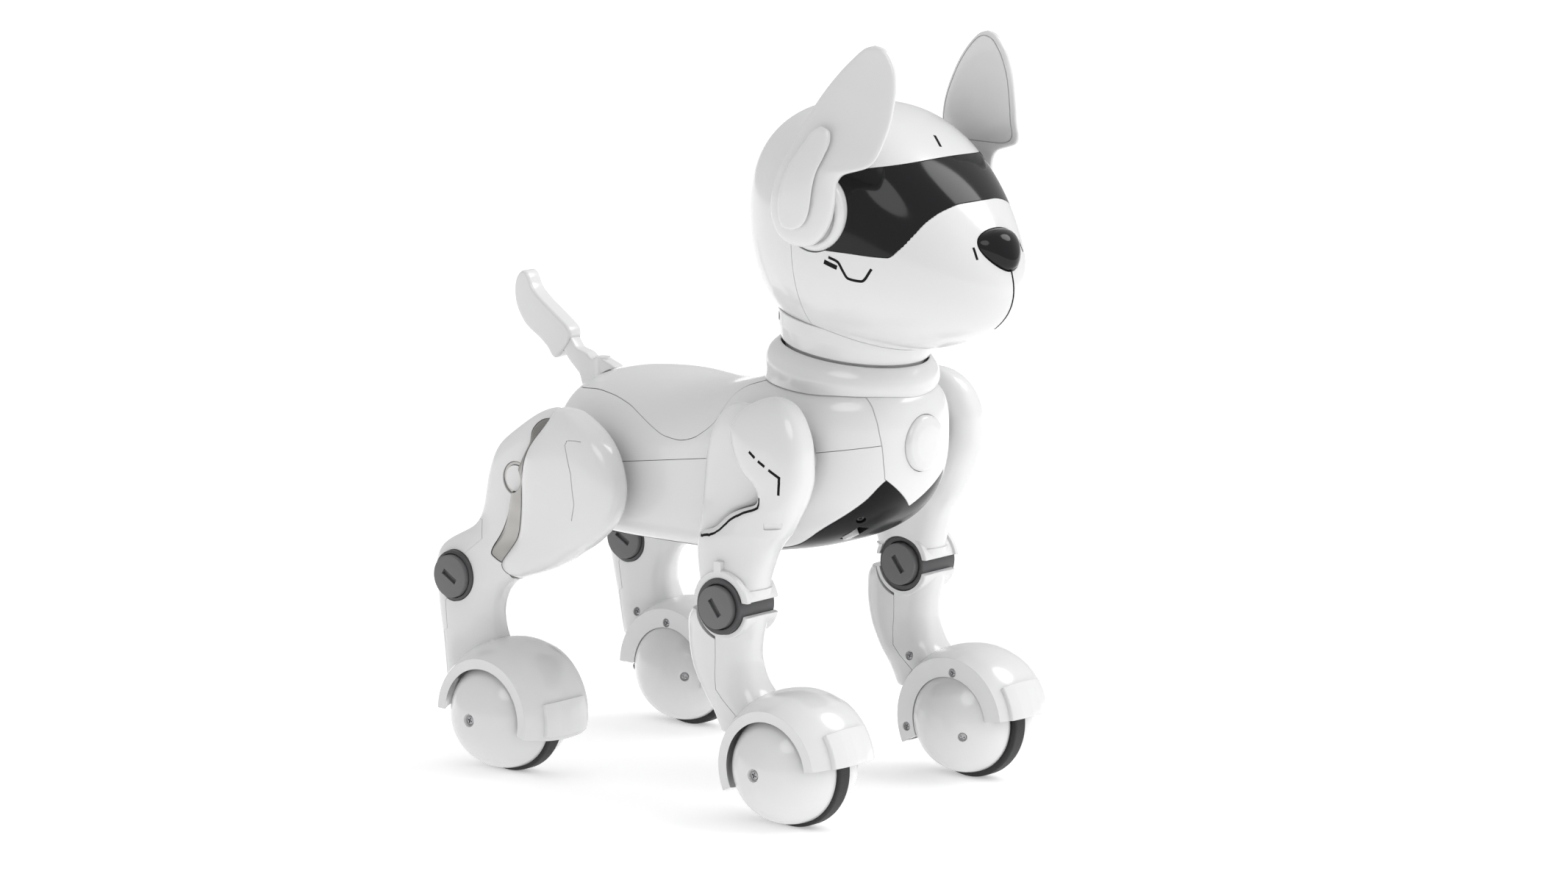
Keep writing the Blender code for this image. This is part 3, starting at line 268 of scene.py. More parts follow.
def squircle(count, squareness):
    """Points round a unit superellipse, spread evenly by its own arc."""
    fine = np.linspace(0, 2 * np.pi, 16 * count, endpoint=False)
    power = 2 / squareness
    x = np.sign(np.cos(fine)) * np.abs(np.cos(fine)) ** power
    y = np.sign(np.sin(fine)) * np.abs(np.sin(fine)) ** power
    step = np.hypot(np.diff(x, append=x[0]), np.diff(y, append=y[0]))
    along = np.cumsum(step) - step[0]
    pick = np.searchsorted(along, np.linspace(0, along[-1], count, endpoint=False))
    return x[pick], y[pick]


def lofted(rings, closed=False):
    """(points, faces) of a skin over rings of points; a ring of no size becomes one point."""
    points, rows, faces = [], [], []
    for ring in rings:
        size = 1 if np.ptp(ring, axis=0).max() < 1e-6 else len(ring)
        rows.append(range(len(points), len(points) + size))
        points.extend(ring[:size])
    following = rows[1:] + rows[:1] if closed else rows[1:]
    for low, high in zip(rows, following):
        count = max(len(low), len(high))
        for i in range(count):
            j = (i + 1) % count
            face = (low[i % len(low)], low[j % len(low)], high[j % len(high)], high[i % len(high)])
            faces.append(tuple(dict.fromkeys(face)))
    if not closed:
        faces += [tuple(row) for row in (rows[0], rows[-1]) if len(row) > 2]
    return np.array(points), faces


def limb(sections, side, count=72, around=64, squareness=2.8, grow=0, toe_in=0, soften=0.022):
    """A limb from level sections, on one side of the dog, grown by grow all round."""
    unit_forward, unit_left = squircle(around, squareness)
    rings = []
    for up, rear, front, inner, outer in smooth_rows(sections, count, soften):
        sized = grow if front - rear > 1e-6 else 0
        forward = (rear + front) / 2 + ((front - rear) / 2 + sized) * unit_forward
        aside = (inner + outer) / 2 + ((outer - inner) / 2 + sized) * unit_left
        left = side * (aside - toe_in * (forward - EAR[0]))
        rings.append(np.stack([forward, left, np.full(around, up)], axis=1))
    rings[0][:, 2] -= grow
    rings[-1][:, 2] += grow
    return lofted(rings)


def frame_of(axis):
    """An axis and two directions at right angles to it and to each other, the second as upright as it can be."""
    axis = np.array(axis, float) / np.linalg.norm(axis)
    across = np.cross(axis, (0, 0, 1) if abs(axis[2]) < 0.9 else (1, 0, 0))
    across /= np.linalg.norm(across)
    return axis, across, np.cross(across, axis)


def turned(profile, centre, axis, around=96):
    """(radius, height) points turned about an axis through centre; a profile off the axis is a ring."""
    axis, across, upright = frame_of(axis)
    angle = np.linspace(0, 2 * np.pi, around, endpoint=False)
    spoke = np.cos(angle)[:, None] * across - np.sin(angle)[:, None] * upright
    rings = [np.array(centre) + height * axis + radius * spoke for radius, height in profile]
    return lofted(rings, closed=profile[0][0] > 0)


def rounded(path, radius, steps=4, closed=False):
    """A path with its corners rounded; an open one keeps its two ends."""
    points = [np.array(p, float) for p in path]
    if closed:
        points = [points[-1], *points, points[0]]
    out = []
    for before, corner, after in zip(points, points[1:], points[2:]):
        back, on = before - corner, after - corner
        reach = min(radius, 0.45 * np.linalg.norm(back), 0.45 * np.linalg.norm(on))
        start, end = corner + reach * back / np.linalg.norm(back), corner + reach * on / np.linalg.norm(on)
        out += [(1 - t) ** 2 * start + 2 * t * (1 - t) * corner + t * t * end for t in np.linspace(0, 1, steps)]
    return out if closed else [points[0], *out, points[-1]]


def prism(outline, low, high, along="left"):
    """A side-view (forward, up) outline drawn out along left, or a front-view one along forward."""
    return plate(outline, low, high, 0, along)


def plate(outline, low, high, radius, along="left", steps=5):
    """An outline drawn out along left, forward or up, with its two rims rounded."""
    outline = np.array(outline, float)
    turn = np.linspace(0, np.pi / 2, steps)
    near = [(low + radius * (1 - np.cos(t)), radius * (1 - np.sin(t))) for t in turn] if radius > 0 else [(low, 0)]
    layers = [*near, *((low + high - depth, inwards) for depth, inwards in near[::-1])]
    rings = []
    for depth, inwards in layers:
        a, b = inset(outline, inwards).T if inwards > 0 else outline.T
        level = np.full(len(a), float(depth))
        columns = {"left": [a, level, b], "forward": [level, a, b], "up": [a, b, level]}[along]
        rings.append(np.stack(columns, axis=1))
    return lofted(rings)


def box_outline(forward, up, length, height):
    """The four corners of a rectangle in side view."""
    return np.array(CORNERS) * (length / 2, height / 2) + (forward, up)


def block(centre, size):
    outline = box_outline(centre[0], centre[2], size[0], size[2])
    return prism(outline, centre[1] - size[1] / 2, centre[1] + size[1] / 2)


def cylinder(radius, low, high):
    """The (radius, height) profile of a plain cylinder."""
    return [(0, low), (radius, low), (radius, high), (0, high)]


def rod(centre, reach_right, reach_left, radius, around=72):
    """A cylinder along the left-right axis through a (forward, up) place."""
    return turned(cylinder(radius, reach_right, reach_left), (centre[0], 0, centre[1]), (0, 1, 0), around)


def rod_along(centre, axis, radius, length):
    return turned(cylinder(radius, -length / 2, length / 2), centre, axis, 32)


def span(side, near, far):
    """Two distances from the middle on one side, the rightmost first."""
    return sorted((side * near, side * far))


# Objects

def place(points):
    """(forward, left, up) in millimetres to the frame's metres."""
    points = np.atleast_2d(points)
    return np.stack([points[:, 1], MIDDLE - points[:, 0], points[:, 2]], axis=1) * MM


def raw_mesh(name, shape):
    points, faces = shape
    mesh = bpy.data.meshes.new(name)
    mesh.from_pydata(np.asarray(points).tolist(), [], [list(map(int, face)) for face in faces])
    edit = bmesh.new()
    edit.from_mesh(mesh)
    bmesh.ops.recalc_face_normals(edit, faces=edit.faces)
    edit.to_mesh(mesh)
    edit.free()
    return mesh


def shape_of(mesh):
    points = np.zeros(3 * len(mesh.vertices), np.float32)
    mesh.vertices.foreach_get("co", points)
    return points.reshape(-1, 3).astype(float), [tuple(face.vertices) for face in mesh.polygons]


def carved(shape, *steps):
    """A shape after Boolean steps, each an operation and another shape, worked out in millimetres."""
    obj = bpy.data.objects.new("carved", raw_mesh("carved", shape))
    tools = []
    for operation, tool in steps:
        tools.append(bpy.data.objects.new("tool", raw_mesh("tool", tool)))
        modifier = obj.modifiers.new(operation, "BOOLEAN")
        modifier.operation, modifier.object, modifier.solver = operation, tools[-1], "MANIFOLD"
    for each in (obj, *tools):
        bpy.context.scene.collection.objects.link(each)
    graph = bpy.context.evaluated_depsgraph_get()
    result = shape_of(obj.evaluated_get(graph).to_mesh())
    for each in (obj, *tools):
        bpy.data.meshes.remove(each.data)
    return result


def cut(shape, *tools):
    return carved(shape, *(("DIFFERENCE", tool) for tool in tools))


def kept(shape, *tools):
    return carved(shape, *(("INTERSECT", tool) for tool in tools))


def joined(shape, *tools):
    return carved(shape, *(("UNION", tool) for tool in tools))


class Form:
    """A smooth outer form that pieces are cut from, which lends them its normals."""

    def __init__(self, shape):
        self.shape = shape
        mesh = raw_mesh("form", shape)
        self.points, self.faces = shape_of(mesh)
        normals = np.zeros(3 * len(mesh.vertices), np.float32)
        mesh.vertex_normals.foreach_get("vector", normals)
        self.normals = normals.reshape(-1, 3)
        self.tree = BVHTree.FromPolygons(self.points.tolist(), self.faces)
        self.known = {tuple(p): n for p, n in zip(np.round(self.points, 3).tolist(), self.normals)}
        bpy.data.meshes.remove(mesh)

    def normal_at(self, point, reach=0.01):
        """The form's own normal at a point on it, or None off it."""
        found = self.known.get(tuple(np.round(point, 3).tolist()))
        if found is not None:
            return found
        spot, _, index, distance = self.tree.find_nearest(Vector(point), reach)
        if index is None or distance > reach:
            return None
        face = self.faces[index]
        weights = poly_3d_calc([Vector(self.points[i]) for i in face], spot)
        return sum(w * self.normals[i] for w, i in zip(weights, face))

    def onto(self, point):
        """The nearest place on the form and its outward normal there."""
        spot, normal, *_ = self.tree.find_nearest(Vector(point))
        found = self.normal_at(np.array(spot), 1)
        found = np.array(normal) if found is None else found
        return np.array(spot), found / np.linalg.norm(found)


def set_normals(mesh, forms, sharp=32):
    """Smooth normals with sharp edges, and the forms' own normals where faces lie on them."""
    mesh.shade_smooth()
    mesh.set_sharp_from_angle(angle=np.radians(sharp))
    loops = np.zeros(3 * len(mesh.loops), np.float32)
    mesh.corner_normals.foreach_get("vector", loops)
    loops = loops.reshape(-1, 3)
    points, _ = shape_of(mesh)
    for form in forms:
        known = [form.normal_at(point) for point in points]
        for face in mesh.polygons:
            lent = [known[i] for i in face.vertices]
            if all(n is not None for n in lent):
                mean = sum(lent)
                if np.dot(mean, face.normal) > 0.9 * np.linalg.norm(mean):
                    for i, n in zip(face.loop_indices, lent):
                        loops[i] = n / np.linalg.norm(n)
    return loops


def detail(name, shape, material, body, forms=()):
    """A visible piece of the toy, riding on a body, in the given material."""
    mesh = raw_mesh(name, shape)
    loops = set_normals(mesh, forms)
    points, _ = shape_of(mesh)
    mesh.vertices.foreach_set("co", place(points).astype(np.float32).ravel())
    mesh.update()
    mesh.normals_split_custom_set(np.stack([loops[:, 1], -loops[:, 0], loops[:, 2]], axis=1).tolist())
    mesh.materials.append(material)
    obj = bpy.data.objects.new(name, mesh)
    bpy.context.scene.collection.objects.link(obj)
    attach(obj, body)
    return obj


def piece(name, shape, material, body, forms=(), node=None):
    """A detail that stands for the CAD node of its own name, or for another one."""
    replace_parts(detail(name, shape, material, body, forms), node or name)


# Shapes that several pieces share

def head_form(grow, rings=72, around=120):
    """The head's outer form: level rings of a squarish ellipsoid, longer towards the lower front."""
    up_turn = np.linspace(-np.pi / 2, np.pi / 2, rings)
    turn = np.linspace(0, 2 * np.pi, around, endpoint=False)
    layers = []
    for angle in up_turn:
        wide = max(np.cos(angle), 0) ** HEAD_SQUARE
        high = np.sign(np.sin(angle)) * abs(np.sin(angle)) ** HEAD_SQUARE
        ahead, aside = wide * np.cos(turn), wide * np.sin(turn)
        length = (HEAD_HALF[0] + grow) * (1 - SNOUT_SWELL * np.clip(np.cos(turn), 0, 1) * high)
        rise = (HEAD_HALF[2] + grow) * high
        layers.append(np.stack([
            HEAD_MIDDLE[0] + length * ahead - HEAD_LEAN * rise,
            HEAD_MIDDLE[1] + (HEAD_HALF[1] + grow) * aside,
            HEAD_MIDDLE[2] + rise * (1 + CROWN_DROP * ahead),
        ], axis=1))
    return lofted(layers)


def torso_form(grow, count=88, around=112):
    """The torso's outer form, as upright sections from tail to chest."""
    rings = []
    turn = np.linspace(0, 2 * np.pi, around, endpoint=False)
    for forward, half, bottom, top, low_square, top_square in smooth_rows(TORSO, count, 0.014):
        seam = np.clip(SEAM_HEIGHT + SEAM_SLOPE * forward, bottom, top)
        sized = grow if half > 1e-6 else 0
        square = np.where(np.sin(turn) > 0, top_square, low_square)
        aside = np.sign(np.cos(turn)) * np.abs(np.cos(turn)) ** (2 / square)
        rise = np.sign(np.sin(turn)) * np.abs(np.sin(turn)) ** (2 / square)
        reach = np.where(rise > 0, top - seam, seam - bottom) + sized
        rings.append(np.stack([np.full(around, forward), (half + sized) * aside, seam + reach * rise], axis=1))
    rings[0][:, 0] -= grow
    rings[-1][:, 0] += grow
    return lofted(rings)


def side_zone(edge, beyond, grow, reach=60):
    """Everything above or below a side-view edge, out to height beyond."""
    where = np.linspace(edge[0][0], edge[-1][0], 120)
    height = curve_at(edge, where) + (-grow if beyond > edge[0][1] else grow)
    outline = [*zip(where, height), (where[-1], beyond), (where[0], beyond)]
    return prism(outline, -reach, reach)


def half_space(above, grow):
    """Everything above or below the casing's seam."""
    ends = (-100, 110)
    shift = -grow if above else grow
    outline = [(f, SEAM_HEIGHT + SEAM_SLOPE * f + shift) for f in ends]
    far = 200 if above else 60
    return prism([*outline, (ends[1], far), (ends[0], far)], -60, 60)


def chest_zone(grow):
    points = np.array(CHEST)
    points[:-1, 0] += grow
    points[-1, 1] -= 1.2 * grow
    outline = [*points, *(points[:-1] * (-1, 1))[::-1]]
    return prism(outline, 60 - grow, 100, along="forward")


def neck_turned(profile, around=128):
    lean = np.radians(NECK_LEAN)
    return turned(profile, NECK, (np.sin(lean), 0, np.cos(lean)), around)


def visor_zone(grow):
    """A band round the front of the head between the visor's upper and lower edges."""
    last = VISOR_LOWER[-1][0] + grow
    rings = []
    for turn in np.linspace(-last, last, 121):
        low = curve_at(VISOR_LOWER, min(abs(turn), VISOR_LOWER[-1][0])) - grow
        high = VISOR_TOP + VISOR_ARCH * np.cos(np.radians(turn)) + grow
        heading = np.array([np.cos(np.radians(turn)), np.sin(np.radians(turn)), 0])
        near, far = 20 * heading, 80 * heading
        start = np.array([HEAD_MIDDLE[0], 0, 0])
        corners = ((near, low), (far, low), (far, high), (near, high))
        rings.append(np.array([start + spoke + (0, 0, up) for spoke, up in corners]))
    return lofted(rings)


def head_back_zone(grow):
    """Everything behind the seam that runs down from the ears and under the head."""
    front = 58.6 + grow
    return prism([(0, 150), (front, 150), (front, 280), (0, 280)], -60, 60)


def nose_shape(grow, layers, around=72):
    """A rounded triangle, wide at the top, through (forward, size) layers; it follows the snout's curve."""
    up, half_wide, half_high = NOSE
    angle = np.linspace(0, 2 * np.pi, around, endpoint=False)
    aside = (half_wide + grow) * (1 + 0.28 * np.sin(angle)) * np.cos(angle)
    rise = (half_high + grow) * np.sin(angle)
    rings = []
    for forward, size in layers:
        bulge = 0.3 * rise * size + 0.03 * (aside * size) ** 2
        rings.append(np.stack([forward - bulge, aside * size, up + rise * size], axis=1))
    return lofted(rings)


def wheel_place(end, side):
    return np.array([end * WHEELBASE / 2, side * TRACK / 2, TYRE_RADIUS])


def dome_arc(base, reach, start, stop, count=24):
    """(radius, offset) points of a dome from its rim to where its radius is down to stop."""
    turn = np.linspace(0, np.arccos(stop / base), count)
    return [(base * np.cos(t), start + (reach - start) * np.sin(t)) for t in turn]


def swept(middle, side, section, start, stop, around):
    """A section of (radius, offset) points carried round an axle from one angle to another."""
    rings = []
    for turn in np.radians(np.linspace(start, stop, around)):
        spoke = np.array([np.cos(turn), 0, np.sin(turn)])
        rings.append(np.array([middle + r * spoke + (0, side * offset, 0) for r, offset in section]))
    return lofted(rings)


def arch(end, side, section, trim=0):
    """A section carried over a wheel; trim takes some degrees off both ends."""
    low, high = FRONT_FENDER if end > 0 else REAR_FENDER
    return swept(wheel_place(end, side), side, section, low + trim, high - trim, 72)


def toe_block(end, side):
    """The raised pad on the front of a fender."""
    begin = FRONT_FENDER[0] if end > 0 else REAR_FENDER[0] + 4
    section = rounded([(25, -11), (27.9, -11), (29, -6), (29.4, 0), (29, 5), (27.7, 11), (25, 11)], 0.6)
    return swept(wheel_place(end, side), side, section, begin, begin + 27, 18)


def wheel_room(end, side, edge, reach, around):
    """A barrel about a wheel's axle with (radius, offset) points along its side, from reach to -reach."""
    profile = [(0, reach), (edge[0][0], reach), *edge, (edge[-1][0], -reach), (0, -reach)]
    return turned(profile, wheel_place(end, side), (0, side, 0), around)


def wheel_bay(end, side):
    """The space that the wheel, its dome and the motor cover need inside the fender."""
    return wheel_room(end, side, [(radius - 2 * GAP, offset) for radius, offset in FENDER_INNER], -40, 72)


def arch_room(end, side):
    """A barrel that a fender and its wheel fill, with a little room."""
    edge = [(radius + GAP, offset) for radius, offset in smooth_rows(FENDER_OUTER, 22, 0.05)]
    return wheel_room(end, side, edge, 40, 96)


def half_ring(side, start, stop, section):
    """Part of a ring round the elbow."""
    return swept((ELBOW[0], 0, ELBOW[1]), side, section, start, stop, 48)


def rotated(shape, degrees, first, second):
    """A shape turned from its first towards its second direction, about the origin."""
    points, faces = shape
    c, s = np.cos(np.radians(degrees)), np.sin(np.radians(degrees))
    points = np.array(points)
    a, b = points[:, first].copy(), points[:, second].copy()
    points[:, first], points[:, second] = c * a - s * b, s * a + c * b
    return points, faces


def moved(shape, way):
    return shape[0] + np.array(way), shape[1]


def bar(centre, axis, length, width, low, high, turn):
    """A straight block on a surface: length by width across the axis, from low to high along it."""
    axis, across, upright = frame_of(axis)
    c, s = np.cos(np.radians(turn)), np.sin(np.radians(turn))
    along, over = c * across + s * upright, c * upright - s * across
    corners = np.array([a * along * length / 2 + b * over * width / 2 for a, b in CORNERS])
    return lofted([np.array(centre) + axis * height + corners for height in (low, high)])


def screw(centre, axis, radius, turn=20):
    """A cross-head screw whose head lies at centre, facing along the axis."""
    shank = 0.5 * radius
    head = [(0, -2), (shank, -2), (shank, -0.8), (radius, -0.8), (radius, 0), (0, 0.14)]
    head = turned(rounded(head, 0.3), centre, axis, 40)
    return cut(head, *(bar(centre, axis, 1.25 * radius, 0.32 * radius, -0.45, 1, turn + more) for more in (0, 90)))


def screw_hole(centre, axis, radius):
    return turned(cylinder(radius + 0.3, -1.1, 4), centre, axis, 40)


# Lines on a surface

def spaced(path, step=0.7):
    """Points every step or so along a path, its corners kept."""
    path = np.array(path, float)
    out = [path[0]]
    for a, b in zip(path, path[1:]):
        count = max(1, int(np.ceil(np.linalg.norm(b - a) / step)))
        out += [a + (b - a) * i / count for i in range(1, count + 1)]
    return np.array(out)


def drawn(form, path, width, low, high, closed=False):
    """A strip that follows a path over a form, from low to high above its surface."""
    spots, normals = zip(*(form.onto(point) for point in spaced(path)))
    spots, normals = np.array(spots), np.array(normals)
    if closed:
        spots, normals = spots[:-1], normals[:-1]
        run, back = np.roll(spots, -1, axis=0) - spots, spots - np.roll(spots, 1, axis=0)
    else:
        run = np.diff(spots, axis=0, append=2 * spots[-1:] - spots[-2:-1])
        back = np.r_[run[:1], run[:-1]]
    run /= np.linalg.norm(run, axis=1, keepdims=True)
    back /= np.linalg.norm(back, axis=1, keepdims=True)
    tangent = run + back
    tangent /= np.linalg.norm(tangent, axis=1, keepdims=True)
    aside = np.cross(normals, tangent)
    aside *= (width / 2 / np.maximum(np.sum(run * tangent, axis=1), 0.5) /
              np.linalg.norm(aside, axis=1))[:, None]
    rings = [np.array([p - a + low * n, p + a + low * n, p + a + high * n, p - a + high * n])
             for p, a, n in zip(spots, aside, normals)]
    return lofted(rings, closed)


def beside(side, left, path):
    """(forward, up) points of a side view set at one distance from the middle."""
    return [(f, side * left, up) for f, up in path]


# Materials

def filled(node, **values):
    """A node with its inputs set; an underscore stands for a space."""
    for key, value in values.items():
        node.inputs[key.replace("_", " ")].default_value = value
    return node


def surface(name, colour, roughness, metallic=0, grain=500, relief=0.03, mottle_and_painted_reflection=0.03, coat=0, edge=0.25,
            stretch=(1, 1, 1), shine=0.5):
    """A material with fine grain in its colour, gloss and relief, and slightly softened edges; its colour also
    varies in broad patches, which on the brushed metal are strong enough to be a painted reflection.
    """
    material = bpy.data.materials.new(name)
    material.use_nodes = True
    nodes, link = material.node_tree.nodes, material.node_tree.links.new

    def add(kind, **values):
        return filled(nodes.new(f"ShaderNode{kind}"), **values)

    shader = filled(nodes["Principled BSDF"], Metallic=metallic, Specular_IOR_Level=shine, Coat_Weight=coat,
                    Coat_Roughness=0.08)
    spread = add("Mapping", Scale=stretch)
    link(add("TexCoord").outputs["Object"], spread.inputs["Vector"])
    fine, broad = add("TexNoise", Scale=grain, Detail=4), add("TexNoise", Scale=35)
    for noise in (fine, broad):
        link(spread.outputs["Vector"], noise.inputs["Vector"])
    # Broad patches of lighter and darker colour: slight random tone on most materials, a painted reflection on the
    # metal, where they run from black to twice its colour
    tint = add("MapRange", To_Min=1 - mottle_and_painted_reflection, To_Max=1 + mottle_and_painted_reflection)
    link(broad.outputs["Fac"], tint.inputs["Value"])
    paint = add("VectorMath")
    paint.operation = "SCALE"
    paint.inputs[0].default_value = colour
    link(tint.outputs["Result"], paint.inputs["Scale"])
    link(paint.outputs["Vector"], shader.inputs["Base Color"])
    gloss = add("MapRange", To_Min=0.85 * roughness, To_Max=1.15 * roughness)
    link(fine.outputs["Fac"], gloss.inputs["Value"])
    link(gloss.outputs["Result"], shader.inputs["Roughness"])
    soft = add("Bevel", Radius=edge * MM)
    soft.samples = 4
    bump = add("Bump", Strength=relief, Distance=0.1 * MM)
    link(fine.outputs["Fac"], bump.inputs["Height"])
    link(soft.outputs["Normal"], bump.inputs["Normal"])
    link(bump.outputs["Normal"], shader.inputs["Normal"])
    return material


WHITE = surface("white_plastic", (0.72, 0.72, 0.723), 0.20, coat=0.5, mottle_and_painted_reflection=0.008, relief=0.02)
BLACK = surface("gloss_black_plastic", (0.007, 0.007, 0.008), 0.10, mottle_and_painted_reflection=0.05, relief=0.01, shine=0.3)
PAN_BLACK = surface("belly_pan_plastic", (0.005, 0.005, 0.006), 0.20, mottle_and_painted_reflection=0.05, relief=0.03, shine=0.14)
DARK = surface("dark_grey_plastic", (0.055, 0.055, 0.058), 0.38, grain=900, relief=0.10, mottle_and_painted_reflection=0.05)
GREY = surface("mid_grey_plastic", (0.13, 0.13, 0.133), 0.42, grain=900, relief=0.10, mottle_and_painted_reflection=0.04)
PRINT = surface("black_print", (0.004, 0.004, 0.004), 0.6, relief=0.02, mottle_and_painted_reflection=0.05, edge=0.05, shine=0.15)
RUBBER = surface("tyre_rubber", (0.022, 0.022, 0.023), 0.62, grain=1400, relief=0.25, mottle_and_painted_reflection=0.08)
# The metal's colour swings strongly in broad patches: a painted reflection of surroundings, not a tone of the
# metal itself
CHROME = surface("brushed_metal", (0.34, 0.33, 0.315), 0.24, 1, grain=250, relief=0.12, mottle_and_painted_reflection=1,
                 stretch=(0.6, 0.6, 1.3))
STEEL = surface("steel", (0.36, 0.36, 0.37), 0.30, 1, grain=1200, relief=0.10, mottle_and_painted_reflection=0.06, edge=0.1)
BOARD = surface("circuit_board", (0.02, 0.11, 0.05), 0.45, grain=700, relief=0.2, mottle_and_painted_reflection=0.15)
WRAP = surface("battery_wrap", (0.05, 0.12, 0.30), 0.35, grain=600, relief=0.1, mottle_and_painted_reflection=0.06)


# Head

def make_head():
    outer, visor_outer = Form(head_form(0)), Form(head_form(-0.1))
    inside = head_form(-2 * WALL)
    recess = cut(visor_zone(GAP), head_form(-WALL - GAP))
    neck_hole = neck_turned(cylinder(22, 0, 34))
    pod_hole = rod(EAR, -60, 60, POD + GAP, 96)
    mouth = [(127.5, 0, 206), (128, 0, 199), (127, 0, 192), (124.5, 0, 187), (120, 0, 182.7)]
    face = cut(outer.shape, inside, head_back_zone(GAP / 2), recess, neck_hole, pod_hole,
               nose_shape(GAP, ((90, 1), (150, 1))), drawn(outer, mouth, 0.6, -0.9, 1))
    piece("face_shell", face, WHITE, "head", forms=[outer])
    detail("mouth_line", drawn(outer, mouth, 0.75, -1.4, 0.05), PRINT, "head")
    rear = kept(cut(outer.shape, inside, neck_hole, pod_hole), head_back_zone(-GAP / 2))
    piece("head_rear_shell", rear, WHITE, "head", forms=[outer])
    visor = kept(cut(visor_outer.shape, head_form(-WALL), pod_hole), visor_zone(0))
    piece("visor", visor, BLACK, "head", forms=[visor_outer])
    swell = [(116, 1), (122.6, 1), (124.2, 0.985), (125.4, 0.945), (126.4, 0.87), (127.3, 0.75), (128, 0.57),
             (128.3, 0.40), (128.45, 0.2), (128.5, 0)]
    piece("nose", nose_shape(0, swell), BLACK, "head")

    ring_profile = rounded([(0, 12.6), (21.5, 12.6), (21.5, 24), (30.2, 24), (29.6, 18.5), (28.4, 14.5),
                            (27.6, 12.4), (26, 12), (26, 9.8), (8, 9.8), (8, -12), (0, -12)], 0.5)
    nape = np.array([37.4, -22.9, 182])
    out = (nape - NECK) * (1, 1, 0)
    out /= np.linalg.norm(out)
    ring = cut(neck_turned(ring_profile), head_form(0.04), screw_hole(nape, out, 1.3))
    piece("head_base_ring", ring, WHITE, "head")
    detail("nape_screw", screw(nape - 0.6 * out, out, 1.3), STEEL, "head")

    board = joined(block((91, 0, 223), (1.6, 42, 20)), *(
        rod_along((91.6, left, 223 + up), (1, 0, 0), 1.6, 1.6) for left in (-15, -5, 5, 15) for up in (-5, 5)))
    piece("eye_led_board", board, BOARD, "head")

    marks = {
        "nose_dash": ([(120.4, -13.2, 213.9), (122.3, -13.3, 209.6)], 0.9),
        "cheek_dash": ([(74.3, -41.7, 207.7), (79.6, -40.8, 205.8)], 1.7),
        "cheek_line": (smooth_rows([(76.3, -41.6, 209.5), (80.2, -41, 207.9), (81.8, -40.4, 205),
                                    (83.7, -39.5, 202.1), (88.6, -38.1, 201.4), (93, -37.5, 206.2)], 30), 1),
        "crown_dash": ([(89.7, 2.6, 250.5), (94.3, 0.4, 246.9)], 1.2),
    }
    for mark, (path, width) in marks.items():
        for name, side in SIDES[:1 if mark == "crown_dash" else 2]:
            line = [(f, -side * left, up) for f, left, up in path]
            detail(f"{name}_{mark}", drawn(outer, line, width, -0.2, 0.06), PRINT, "head", forms=[outer])
    detail("brow_dash", drawn(outer, [(90.2, 27.4, 242.3), (92, 28.2, 240.6)], 1, -0.2, 0.06), PRINT, "head")
    for name, side in SIDES:
        make_ear(name, side)


def make_ear(name, side):
    pod = [(0, 30), (POD, 30), (POD, 41.5), (13, 43.3), (11.6, 43.6), (10.8, 43), (4.3, 43), (4.3, 35), (0, 35)]
    pod = turned(rounded(pod, 0.8, 5), (EAR[0], 0, EAR[1]), (0, side, 0))
    piece(f"{name}_ear_pod", pod, WHITE, "head")
    blade = Form(limb(EAR_BLADE, side, 110, 72, 3, 0, EAR_TOE_IN, 0.012))
    lining = [(f, side * ear_inner(f, up), up) for f, up in lining_edge()]
    cap, cap_room = (limb(EAR_CAP, side, 64, 64, 2.4, grow, EAR_TOE_IN) for grow in (0, GAP))
    ear = cut(joined(blade.shape, rod(EAR, *span(side, 36, 46), 4, 48)), cap_room,
              drawn(blade, lining, 0.4, -0.5, 0.8, True))
    piece(f"{name}_ear", ear, WHITE, f"{name}_ear", forms=[blade])
    piece(f"{name}_ear_cap", cap, WHITE, f"{name}_ear")


def ear_inner(forward, up):
    """How far from the middle the inner face of the ear is, at a place in side view."""
    rows = np.array(EAR_BLADE)
    return curve_at(rows[:, [0, 3]], up) - EAR_TOE_IN * (forward - EAR[0])


def evened(edge, count, passes):
    """A closed outline with count points an even way apart and its corners softened."""
    edge = np.array([*edge, edge[0]], float)
    along = np.r_[0, np.cumsum(np.linalg.norm(np.diff(edge, axis=0), axis=1))]
    even = np.linspace(0, along[-1], count, endpoint=False)
    edge = np.stack([np.interp(even, along, column) for column in edge.T], axis=1)
    for _ in range(passes):
        edge = (np.roll(edge, 1, axis=0) + 2 * edge + np.roll(edge, -1, axis=0)) / 4
    return edge


def lining_edge():
    """A closed outline a little inside the ear's, closer to its rear edge than to its front."""
    rows = np.array(EAR_BLADE)
    up = 242.2 + 44.2 * (1 - np.cos(np.linspace(0, np.pi, 90))) / 2
    rear, front = curve_at(rows[:, [0, 1]], up), curve_at(rows[:, [0, 2]], up)
    edge = evened([*zip(rear, up), *zip(front[::-1], up[::-1])], 180, 8)
    return inset(edge, 1.5)[[*range(180), 0]] - (0.5, 0)


# Torso

